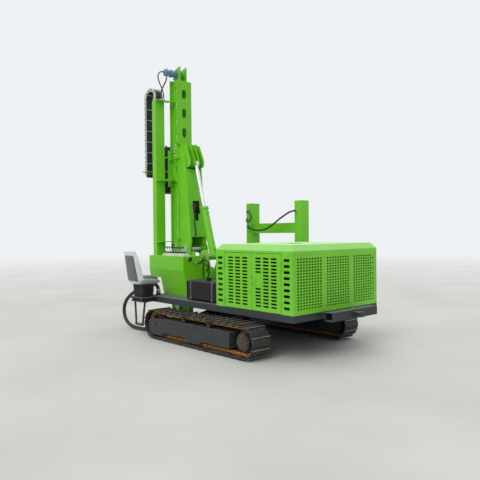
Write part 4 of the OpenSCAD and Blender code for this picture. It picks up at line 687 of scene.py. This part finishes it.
def seatShell():
    # Across the seat the shell leaves the profile by depth times the fourth power of u, which makes
    # its wings, less a dish that is a cosine of u
    v, u = np.linspace(0, 1, seat["rows"]), np.linspace(-1, 1, seat["cols"])
    back, front = seat["backTaper"], seat["frontTaper"]
    y, z = seatProfile(v)
    inY, inZ = squareTo(y, z)
    depth = np.interp(v, *np.array(seat["wings"], float).T)
    width = (seat["half"] - back["by"] * np.clip((v - back["start"]) / back["over"], 0, 1) ** back["power"]
             - front["by"] * np.clip((front["over"] - v) / front["over"], 0, 1))
    dish = seat["dish"] * np.cos(u * np.pi / 2)[None] * np.interp(v, [0, 0.2, 1], [0, 1, 0.6])[:, None]
    off = depth[:, None] * np.abs(u)[None] ** 4 - dish
    points = np.stack([seat["x"] + width[:, None] * u[None], y[:, None] + inY[:, None] * off,
                       z[:, None] + inZ[:, None] * off], 2)
    return points.reshape(-1, 3), gridFaces(seat["rows"], seat["cols"], roundCols=False)


shell = addPiece("seatShell", *seatShell(), shellWhite, "carrier", "shell_white", sharp=1.2)
giveWall(shell, seat["wall"], 0)
softenEdges(shell, seat["lip"], 30)
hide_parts("seat_shell")

padLook = dict(
    lower=dict(centre=(1580, 1100, 1005), half=(196, 182, 62), tilt=0.05, puff=15),
    upper=dict(centre=(1580, 1372, 1268), half=(180, 205, 22), tilt=math.radians(80), puff=9))
padSewing = dict(seams=(-0.45, 0.45), width=0.035, depth=7, squareness=0.42, edge=0.6, waist=0.02)


def stuffedPad(centre, half, tilt, puff, rows=44, cols=88):
    # A rounded box: cosines and sines raised to small powers, its face crowned and drawn in along the seams
    f = np.linspace(-np.pi / 2, np.pi / 2, rows)[:, None]
    a = turnOf(cols)[None]
    x = power(np.cos(a), padSewing["squareness"]) * power(np.cos(f), padSewing["squareness"])
    y = power(np.sin(a), padSewing["squareness"]) * power(np.cos(f), padSewing["squareness"])
    z = power(np.sin(f), padSewing["edge"]) * np.ones_like(a)
    crown = puff * np.clip(1 - x**2, 0, 1) * np.clip(1 - y**2, 0, 1)
    groove = sum(np.exp(-((x - s) / padSewing["width"]) ** 2) for s in padSewing["seams"])
    groove = groove * padSewing["depth"] * np.clip(1 - y**2, 0, 1) ** 0.5
    waist = 1 - padSewing["waist"] * np.cos(f) * (1 - np.abs(np.sin(2 * a)))
    px, py = half[0] * x * waist, half[1] * y * waist
    pz = half[2] * z + np.clip(z, 0, 1) * (crown - groove)
    c, s = math.cos(tilt), math.sin(tilt)
    points = np.stack([centre[0] + px, centre[1] + c * py - s * pz, centre[2] + s * py + c * pz], 2)
    return points.reshape(-1, 3), capped(rows, cols)


pads = together(stuffedPad(**padLook["lower"]), stuffedPad(**padLook["upper"]))
cushion = addPiece("seatPads", *pads, seatVinyl, "carrier", "seat_vinyl", sharp=1.2)
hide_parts("seat_cushion")

panelLook = dict(run=(0.60, 0.955), reach=0.74, half=216, lift=13, sunk=3, seam=1.6, seamWidth=0.02,
                 curl=60, wall=0.004, grid=40)


def backPanel():
    # A padded panel let into the back's outside: it stands off the shell and sinks towards its rim
    # with the eighth powers of u and v
    v = np.linspace(*panelLook["run"], panelLook["grid"])
    u = np.linspace(-panelLook["reach"], panelLook["reach"], panelLook["grid"])
    whole = np.linspace(0, 1, seat["rows"])
    y, z = (np.interp(v, whole, side) for side in seatProfile(whole))
    outY, outZ = (-side for side in squareTo(y, z))
    upDown = 1 - (2 * (v - v[0]) / (v[-1] - v[0]) - 1) ** 8
    edge = upDown[:, None] * (1 - (u / panelLook["reach"]) ** 8)[None]
    seam = panelLook["seam"] * np.exp(-(u[None] / panelLook["seamWidth"]) ** 2) * edge
    lift = panelLook["lift"] * edge ** 0.5 - panelLook["sunk"] - seam
    points = np.stack([seat["x"] + panelLook["half"] * u[None] + 0 * v[:, None],
                       y[:, None] + outY[:, None] * lift - panelLook["curl"] * np.abs(u[None]) ** 4,
                       z[:, None] + outZ[:, None] * lift], 2)
    return points.reshape(-1, 3), gridFaces(panelLook["grid"], panelLook["grid"], roundCols=False)


panel = addPiece("seatBackPanel", *backPanel(), seatVinyl, "carrier", "seat_vinyl", sharp=1.2)
giveWall(panel, panelLook["wall"], -1)

# Two rails under the pan on the plate that tops the bellows
seatRails = dict(edge=0.002, blocks=[[1436, 1464, 1010, 1270, 892, 921], [1696, 1724, 1010, 1270, 892, 921],
                                     [1412, 1748, 1012, 1268, 890, 899]])
mount = addPiece("seatMount", *plates(seatRails["blocks"]), darkBolt, "carrier", "strap_steel")
softenEdges(mount, seatRails["edge"])

bellowsLook = dict(low=700.5, rise=189, half=(180, 140), folds=7, foldDepth=16, taper=10, squareness=0.30,
                   rowsPerFold=14, cols=96)


def bellowsCover():
    # A rounded rectangle whose half sizes swell and shrink as a cosine of the height, wider towards the top
    rows, cols = bellowsLook["folds"] * bellowsLook["rowsPerFold"] + 1, bellowsLook["cols"]
    t = np.linspace(0, 1, rows)[:, None]
    a = turnOf(cols)[None]
    fold = (0.5 + 0.5 * np.cos(t * bellowsLook["folds"] * 2 * np.pi)) ** 0.7
    swell = -bellowsLook["foldDepth"] * (1 - fold) - bellowsLook["taper"] * (1 - t)
    x = seat["x"] + power(np.cos(a), bellowsLook["squareness"]) * (bellowsLook["half"][0] + swell)
    y = seat["y"] + power(np.sin(a), bellowsLook["squareness"]) * (bellowsLook["half"][1] + swell)
    z = bellowsLook["low"] + bellowsLook["rise"] * t + 0 * a
    return np.stack([x, y, z], 2).reshape(-1, 3), capped(rows, cols)


bellows = addPiece("seatBellows", *bellowsCover(), bellowsRubber, "carrier", "bellows_rubber", sharp=1.4)
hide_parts("seat_bellows")
print("seat trimmed")

# Tracks
track = dict(middle=1069.5, base=2280, r=226.5, axle=263.5, shoes=38, face=11.5, strand=67, linkDepth=36,
             boltAlong=38, boltAside=50, bolt=(12, 12),
             pin=[[-1, 19], [3, 19], [5, 17], [5.5, 9], [3.5, 8]])


def beltPoint(s, a, n):
    # s runs along the belt from the bottom's middle, a along the shoe and n outwards:
    # half a straight, half a turn, a whole straight, half a turn and half a straight
    half, arc = track["base"] / 2, np.pi * track["r"]
    total = 2 * track["base"] + 2 * arc
    t = np.mod(s, total)
    stretch = [t < half, t < half + arc, t < half + arc + track["base"], t < total - half]
    angle = np.select(stretch, [0 * t, (t - half) / track["r"], 0 * t + np.pi,
                                np.pi + (t - half - arc - track["base"]) / track["r"]], 2 * np.pi)
    c = np.select(stretch, [t, 0 * t + half, half - (t - half - arc), 0 * t - half], t - total)
    reach = track["r"] + n
    x = c + reach * np.sin(angle) + a * np.cos(angle)
    z = track["axle"] - reach * np.cos(angle) + a * np.sin(angle)
    return x, z, np.sin(angle), -np.cos(angle)


pitch = (2 * track["base"] + 2 * np.pi * track["r"]) / track["shoes"]
shoe = np.arange(track["shoes"])
boltPlaces, boltAxes = [], []
for along in (-track["boltAlong"], track["boltAlong"]):
    for aside in (-track["boltAside"], track["boltAside"]):
        x, z, nx, nz = beltPoint(shoe * pitch, along, track["face"])
        boltPlaces.append(np.stack([x, track["middle"] + aside + 0 * x, z], 1))
        boltAxes.append(np.stack([nx, 0 * nx, nz], 1))
shoeBolts = copies(hexBolt(*track["bolt"]), np.concatenate(boltPlaces), np.concatenate(boltAxes))
addPiece("shoeBolts", *bothSides(shoeBolts), wheelMetal, "carrier", "wheel_steel")

x, z, nx, nz = beltPoint((shoe + 0.5) * pitch, 0, -track["linkDepth"])
strands = [track["middle"] - track["strand"], track["middle"] + track["strand"]]
pinPlaces = np.concatenate([np.stack([x, y + 0 * x, z], 1) for y in strands])
pinAxes = np.repeat([rightward, leftward], len(shoe), 0)
linkPins = copies(turned(track["pin"], 16), pinPlaces, pinAxes)
addPiece("linkPins", *bothSides(linkPins), trackFinish, "carrier", "track_steel")

# The outline's half length, its extra reach at the eyes, its half height, its share of height at the waist,
# its points, the power that keeps the slot low, and rows of scale and thickness round the plate's section
linkShape = dict(length=60, eyes=22, height=30, waist=0.70, round=40, slotLow=1.2,
                 ring=[(1.0, 0), (1.0, 7), (0.94, 9), (0.52, 9), (0.48, 7), (0.48, 0)])


def linkPlate():
    # An outline of two eyes joined by a waist, and the same drawn in for the slot: a closed ring,
    # as many points round as the ring has rows
    a = turnOf(linkShape["round"])
    x = linkShape["length"] * np.cos(a) + linkShape["eyes"] * np.cos(a) ** 3
    y = linkShape["height"] * np.sin(a) * (linkShape["waist"] + (1 - linkShape["waist"]) * np.cos(a) ** 2)
    points = np.concatenate([np.stack([x * k, y * k ** linkShape["slotLow"], 0 * a + h], 1)
                             for k, h in linkShape["ring"]])
    faces = np.mod(gridFaces(len(linkShape["ring"]) + 1, linkShape["round"]), len(points))
    return points, faces.tolist()


def onBelt(shape, s, y, up, depth):
    # The shape's x runs along the belt, its y towards the belt's middle and its z out along Y
    points, faces = shape
    x, z, nx, nz = beltPoint(s[:, None] * pitch, points[None, :, 0], -depth + points[None, :, 1])
    made = np.stack([x, y + up * points[None, :, 2] + 0 * x, z], 2).reshape(-1, 3)
    shift = np.arange(len(s)) * len(points)
    flip = -1 if up > 0 else 1
    return made, [[int(v + k) for v in f][::flip] for k in shift for f in faces]


linkPlates = together(*[onBelt(linkPlate(), shoe + 0.5, y, side, track["linkDepth"])
                        for y, side in zip(strands, (-1, 1))])
addPiece("linkPlates", *bothSides(linkPlates), linkRust, "carrier", "track_steel")

# Drive cover, hub and drain plug, lug and idler pins, and bolts along the frame's plate
drive = dict(
    coverBolts=dict(bolt=(8, 9), count=10, radius=119, centre=(-1140, 1204.5, 263.5)),
    hubBolts=dict(bolt=(7, 8), count=6, radius=70, centre=(-1140, 1214.5, 263.5), start=0.4),
    drainPlug=[[0, 22], [4, 22], [6, 19], [6.5, 10], [2.5, 9]],
    lugPin=[[0, 17], [6, 17], [9, 14], [9.5, 7], [7, 6]], lugs=[[346, 1170.5, 434.3], [-308, 1170.5, 434.3]],
    idlerPin=[[0, 46], [8, 46], [10, 43], [10.5, 26], [7, 24]], idler=(1140, 1214.5, 263.5),
    plateBolt=(9, 10), plateBolts=[[x, 1214.5, 150] for x in (-760, -380, 0, 380, 760)])
driveParts = together(
    boltRing(leftward, **drive["coverBolts"]), boltRing(leftward, **drive["hubBolts"]),
    copies(turned(drive["drainPlug"], 20), drive["hubBolts"]["centre"], leftward),
    copies(turned(drive["lugPin"], 20), drive["lugs"], leftward),
    copies(turned(drive["idlerPin"], 28), drive["idler"], leftward),
    copies(hexBolt(*drive["plateBolt"]), drive["plateBolts"], leftward))
addPiece("driveBolts", *bothSides(driveParts), darkBolt, "carrier", "wheel_steel")

# The cover over the tensioner's grease point, and its nipple
tension = dict(cover=[880, 1010, 1214, 1219, 236, 290], nipple=(945, 1219, 263), edge=0.0015,
               profile=[[0, 12], [4, 12], [5, 8], [9, 6], [10, 4]])
tensioner = together(plates([tension["cover"]]),
                     copies(turned(tension["profile"], 16), tension["nipple"], leftward))
tensionCover = addPiece("tensionCovers", *bothSides(tensioner), slate, "carrier", "slate_paint")
softenEdges(tensionCover, tension["edge"])
print("tracks bolted")

# Hood
radiator = dict(half=900, low=740, high=1500, tube=4, tubeStep=40, fin=1.2, finStep=18, firstFin=8, finPast=6,
                tubeX=[-1893, -1878], finX=[-1891, -1880], tankX=[-1899, -1868], sheetX=[-1868, -1862],
                tankPast=30, tankLap=2, foot=712, top=1530)


def radiatorCore():
    # Upright tubes and level fins behind the rear grille, between two tanks and before a back sheet
    low, high, half = radiator["low"], radiator["high"], radiator["half"]
    tube, fin, lap = radiator["tube"], radiator["fin"], radiator["tankLap"]
    tubes = [[*radiator["tubeX"], y - tube, y + tube, low, high]
             for y in range(-half, half + 1, radiator["tubeStep"])]
    fins = [[*radiator["finX"], -half - radiator["finPast"], half + radiator["finPast"], z - fin, z + fin]
            for z in range(low + radiator["firstFin"], high, radiator["finStep"])]
    wide = [-half - radiator["tankPast"], half + radiator["tankPast"]]
    tanks = [[*radiator["tankX"], *wide, radiator["foot"], low + lap],
             [*radiator["tankX"], *wide, high - lap, radiator["top"]]]
    return plates(tubes + fins + tanks + [[*radiator["sheetX"], *wide, radiator["foot"], radiator["top"]]])


addPiece("radiatorCore", *radiatorCore(), engineGrey, "carrier", "engine_paint")

# An outer pipe with a rolled rim and a baffle, inside the roof's opening
exhaust = dict(foot=(-1285, 230, 1522), baffle=[[96, 40], [110, 34], [120, 20], [124, 6]],
               pipe=[[0, 60], [130, 60], [134, 64], [138, 62], [136, 55], [128, 54], [10, 54], [8, 20]])
stack = copies(together(turned(exhaust["pipe"], 40), turned(exhaust["baffle"], 32)), exhaust["foot"], upward)
addPiece("exhaustStack", *stack, darkBolt, "carrier", "engine_paint")

# Rocker covers, manifold runners, oil filters and an air cleaner, seen through the slots
engineLook = dict(covers=dict(box=[-1480, -1320, 160, 300, 1340, 1395], count=4, step=200),
                  runners=dict(box=[-1500, -1440, 309, 352, 980, 1240], count=7, step=110),
                  filters=[[-1100, 372, 800], [-960, 372, 800]], cleaner=(-720, 520, 1330),
                  filter=[[0, 52], [10, 56], [150, 56], [165, 48], [170, 20]],
                  drum=[[0, 90], [8, 110], [430, 110], [445, 96], [450, 40]])
engineDressing = together(*[plates(rowOfBoxes(**engineLook[row])) for row in ("covers", "runners")],
                          copies(turned(engineLook["filter"], 28), engineLook["filters"], upward),
                          copies(turned(engineLook["drum"], 36), engineLook["cleaner"], rightward))
addPiece("engineDressing", *engineDressing, engineGrey, "carrier", "engine_paint")

# The paddle's hinge pin and lock barrel in its dish
latch = dict(pinFrom=(-1145.5, 1003.5, 1188), pin=[[0, 4], [36, 4], [37, 3]],
             lockAt=(-1127.5, 997, 1090), lock=[[0, 9], [4, 9], [5, 7.5], [5.2, 3]])
latchParts = together(copies(turned(latch["pin"], 12), latch["pinFrom"], forward),
                      copies(turned(latch["lock"], 20), latch["lockAt"], leftward))
addPiece("latchLeft", *latchParts, darkBolt, "door_rl", "strap_steel")
addPiece("latchRight", *mirrored(latchParts), darkBolt, "door_rr", "strap_steel")

screws = dict(head=[[0, 8], [2, 8], [4, 5.5], [4.6, 2]], rear=-1925, rows=(712, 1534), half=970, across=12,
              skirtY=991.4, skirtZ=1562, skirt=(-1880, -350), along=9)


def sheetScrews():
    # Round-headed screws along the rear grille's rim and the roof's skirt
    head = turned(screws["head"], 12)
    rim = [[screws["rear"], y, z] for z in screws["rows"]
           for y in np.linspace(-screws["half"], screws["half"], screws["across"])]
    skirt = [[x, screws["skirtY"], screws["skirtZ"]] for x in np.linspace(*screws["skirt"], screws["along"])]
    return together(copies(head, rim, backward), bothSides(copies(head, skirt, leftward)))


addPiece("sheetScrews", *sheetScrews(), green, "carrier", "green_paint")
print("hood fitted")

# Tank, console and levers
filler = dict(centre=(143.7, 780, 1037), ribs=12, ribRing=43, rib=[-3, 3, -2.5, 2.5, 26, 56],
              crown=[[57, 40], [60, 38], [62, 30], [62.5, 6]], neck=[[-1, 50], [3, 50], [5, 44], [11, 40]])


def tankFittings():
    # The filler cap's finger ribs and crown, and its neck
    ribPlaces = ringOf(filler["ribs"], filler["ribRing"], filler["centre"], upward)
    return together(copies(plates([filler["rib"]]), ribPlaces, upward),
                    copies(turned(filler["crown"], 32), filler["centre"], upward),
                    copies(turned(filler["neck"], 36), filler["centre"], upward))


addPiece("tankFittings", *tankFittings(), tankBlack, "carrier", "tank_black")

strapEnds = dict(bolt=(8, 9), places=[[-78.6, 905, 745], [483, 905, 745]])
strapBolts = copies(hexBolt(*strapEnds["bolt"]), strapEnds["places"], leftward)
addPiece("strapBolts", *strapBolts, zinc, "carrier", "strap_steel")

# Where feet, plugs and caps stand: Y and Z, at every lever's X
levers = dict(first=1024, step=72, count=9, lean=14, feet=(625, 1471.5), plugs=(685, 1435), caps=(578, 1472),
              height=34, wide=24, narrow=10, ripple=2.2, folds=5, plug=(9, 10),
              cap=[[0, 15], [9, 15], [11, 12], [11.5, 5]])


def atLevers(part):
    return [[x, *levers[part]] for x in levers["first"] + levers["step"] * np.arange(levers["count"])]


def leverBoots():
    # Folded boots under the levers: the radius falls with height and ripples with it
    t = np.linspace(0, 1, 22)
    radius = (levers["wide"] - (levers["wide"] - levers["narrow"]) * t
              + levers["ripple"] * np.cos(t * levers["folds"] * 2 * np.pi))
    lean = math.radians(levers["lean"])
    boot = turned(np.stack([levers["height"] * t, radius], 1), 20)
    return copies(boot, atLevers("feet"), (0, math.sin(lean), math.cos(lean)))


def bankPorts():
    # Plugs along the valve block's left side and the caps of its spools behind the levers
    return together(copies(hexBolt(*levers["plug"]), atLevers("plugs"), leftward),
                    copies(turned(levers["cap"], 18), atLevers("caps"), upward))


addPiece("leverBoots", *leverBoots(), bellowsRubber, "carrier", "bellows_rubber")
addPiece("bankPorts", *bankPorts(), zinc, "carrier", "strap_steel")

knobLook = dict(centre=(907, 594, 1373), r=37, flutes=8, flute=2.5,
                rows=[[0, 0.86], [3, 1.0], [20, 1.0], [26, 0.9], [28, 0.45]])


def tankKnob():
    # A pressed knob with finger flutes: the radius ripples with the angle
    a = turnOf(48)
    ring = knobLook["r"] + knobLook["flute"] * np.cos(knobLook["flutes"] * a)
    rows = np.array(knobLook["rows"])
    points = np.stack([rows[:, 1:] * ring[None] * np.cos(a)[None], rows[:, 1:] * ring[None] * np.sin(a)[None],
                       rows[:, :1] + 0 * a[None]], 2).reshape(-1, 3)
    return copies((points, capped(len(rows), 48)), knobLook["centre"], backward)


addPiece("tankKnob", *tankKnob(), bellowsRubber, "carrier", "bellows_rubber")

# Breather and bolted hatch beside the levers
tankLid = dict(breatherAt=(1060, 390, 1420), hatchAt=(1420, 430, 1420),
               bolts=dict(bolt=(8, 8), count=10, radius=104, centre=(1420, 430, 1430)),
               breather=[[0, 34], [12, 34], [14, 28], [40, 28], [42, 40], [70, 40], [74, 36], [75, 8]],
               hatch=[[0, 120], [8, 120], [10, 116], [10.5, 30]])
tankTop = together(copies(turned(tankLid["breather"], 32), tankLid["breatherAt"], upward),
                   copies(turned(tankLid["hatch"], 48), tankLid["hatchAt"], upward),
                   boltRing(upward, **tankLid["bolts"]))
addPiece("tankTop", *tankTop, green, "carrier", "green_paint")
print("tank and console dressed")

# Mast: a valve block with ports and spool caps inside the frame's window
frameBlock = dict(blocks=[[1500, 1570, -70, 40, 2250, 2440], [1480, 1505, -50, 20, 2290, 2400]], edge=0.003,
                  ports=[[1500, -45, 2270], [1500, 15, 2270], [1480, -30, 2345], [1480, 5, 2345]],
                  port=[[0, 16], [14, 16], [16, 13], [26, 13], [27, 6]],
                  spools=[[1535, -45, 2440], [1535, 15, 2440]],
                  spool=[[0, 20], [50, 20], [54, 16], [60, 12], [61, 4]])
frameValve = together(plates(frameBlock["blocks"]),
                      copies(turned(frameBlock["port"], 20), frameBlock["ports"], backward),
                      copies(turned(frameBlock["spool"], 24), frameBlock["spools"], upward))
valve = addPiece("frameValve", *frameValve, tankBlack, "mast_frame", "tank_black")
softenEdges(valve, frameBlock["edge"])

# Bolts and a grease nipple on the ends of the two base pins
basePins = [dict(bolt=(9, 9), count=3, radius=52, centre=(1525, 244, 1535.5), start=0.5),
            dict(bolt=(8, 8), count=3, radius=42, centre=(957, 244, 1406), start=0.5)]
nipple = turned([[0, 7], [6, 7], [8, 5], [16, 4], [18, 2]], 12)
pinHardware = together(*[boltRing(leftward, **pin) for pin in basePins],
                       copies(nipple, [pin["centre"] for pin in basePins], leftward))
addPiece("pinHardware", *bothSides(pinHardware), zinc, "carrier", "strap_steel")

# Adjusting bolts with their studs for the slide pads, in rows on the collars' cheeks
collar = dict(cheek=224, columns=(1830, 1872), rows=(1576, 1634, 1692, 3348, 3420, 3492, 3556),
              bolt=(12, 14), stud=[[14, 8], [26, 8], [27, 6]])
collarPlaces = [[x, collar["cheek"], z] for x in collar["columns"] for z in collar["rows"]]
collarStud = copies(turned(collar["stud"], 12), (0, 0, 0), upward)
collarBolts = copies(together(hexBolt(*collar["bolt"]), collarStud), collarPlaces, leftward)
addPiece("collarBolts", *bothSides(collarBolts), zinc, "mast_frame", "strap_steel")

# Flange bolts in three rings and the port on top of the hoist motor
motor = dict(port=[[0, 18], [16, 18], [18, 15], [34, 15], [36, 9]], portFoot=(1980, 300, 5050),
             rings=[dict(bolt=(7, 8), count=8, radius=74, centre=(1980, 101, 4990), start=0.2),
                    dict(bolt=(6, 7), count=6, radius=68, centre=(1980, 221, 4990), start=0.2),
                    dict(bolt=(6, 7), count=4, radius=44, centre=(1980, 355, 4990), start=0.8)])
motorFittings = together(*[boltRing(leftward, **ring) for ring in motor["rings"]],
                         copies(turned(motor["port"], 20), motor["portFoot"], upward))
addPiece("motorFittings", *motorFittings, zinc, "mast", "strap_steel")

# Each leg's X and the height of its lowest joint, and the middle and radius of the bend between them
chain = dict(legs=[(2080.5, 2953.5), (2420.5, 3053.5)], bend=4500, pitch=107, middle=2250.5, r=170,
             bendPins=4, left=526, right=354, head=[[-1, 15], [1.6, 15], [2.4, 12], [2.6, 4]])


def chainPins():
    # A pin with a collar at each joint of the energy chain: up both legs and round the bend
    legs = [[x, z] for x, low in chain["legs"] for z in np.arange(low, chain["bend"], chain["pitch"])]
    a = np.arange(1, chain["bendPins"] + 1) / (chain["bendPins"] + 1) * np.pi
    arc = np.stack([chain["middle"] + chain["r"] * np.cos(a), chain["bend"] + chain["r"] * np.sin(a)], 1)
    x, z = np.concatenate([legs, arc]).T
    head = turned(chain["head"], 16)
    return together(copies(head, np.stack([x, chain["left"] + 0 * x, z], 1), leftward),
                    copies(head, np.stack([x, chain["right"] + 0 * x, z], 1), rightward))


addPiece("chainPins", *chainPins(), darkBolt, "energy_chain", "chain_plastic")

# Bolts round the hammer's head, tie rods down its sides and the hose ports on top
hammer = dict(headBolts=dict(bolt=(11, 12), count=12, radius=134, centre=(2383, 0, 3550)),
              rods=dict(count=6, radius=164, centre=(2383, 0, 2902), start=0.52),
              rod=[[0, 11], [540, 11], [541, 6]], ports=[[2383, 55, 3598], [2383, -55, 3598]],
              port=[[0, 20], [18, 20], [20, 16], [38, 16], [39, 8]])
hammerFittings = together(boltRing(upward, **hammer["headBolts"]),
                          copies(turned(hammer["rod"], 14), ringOf(axis=upward, **hammer["rods"]), upward),
                          copies(turned(hammer["port"], 20), hammer["ports"], upward))
addPiece("hammerFittings", *hammerFittings, darkBolt, "hammer", "engine_paint")

# Bolts in two upright rows on the front of the hammer's carriage
carriage = dict(front=2070, sides=(-215, 215), rows=(2800, 2880, 3360, 3440), bolt=(11, 12))
carriagePlaces = [[carriage["front"], y, z] for y in carriage["sides"] for z in carriage["rows"]]
carriageBolts = copies(hexBolt(*carriage["bolt"]), carriagePlaces, forward)
addPiece("carriageBolts", *carriageBolts, zinc, "hammer", "strap_steel")
print("mast fitted")

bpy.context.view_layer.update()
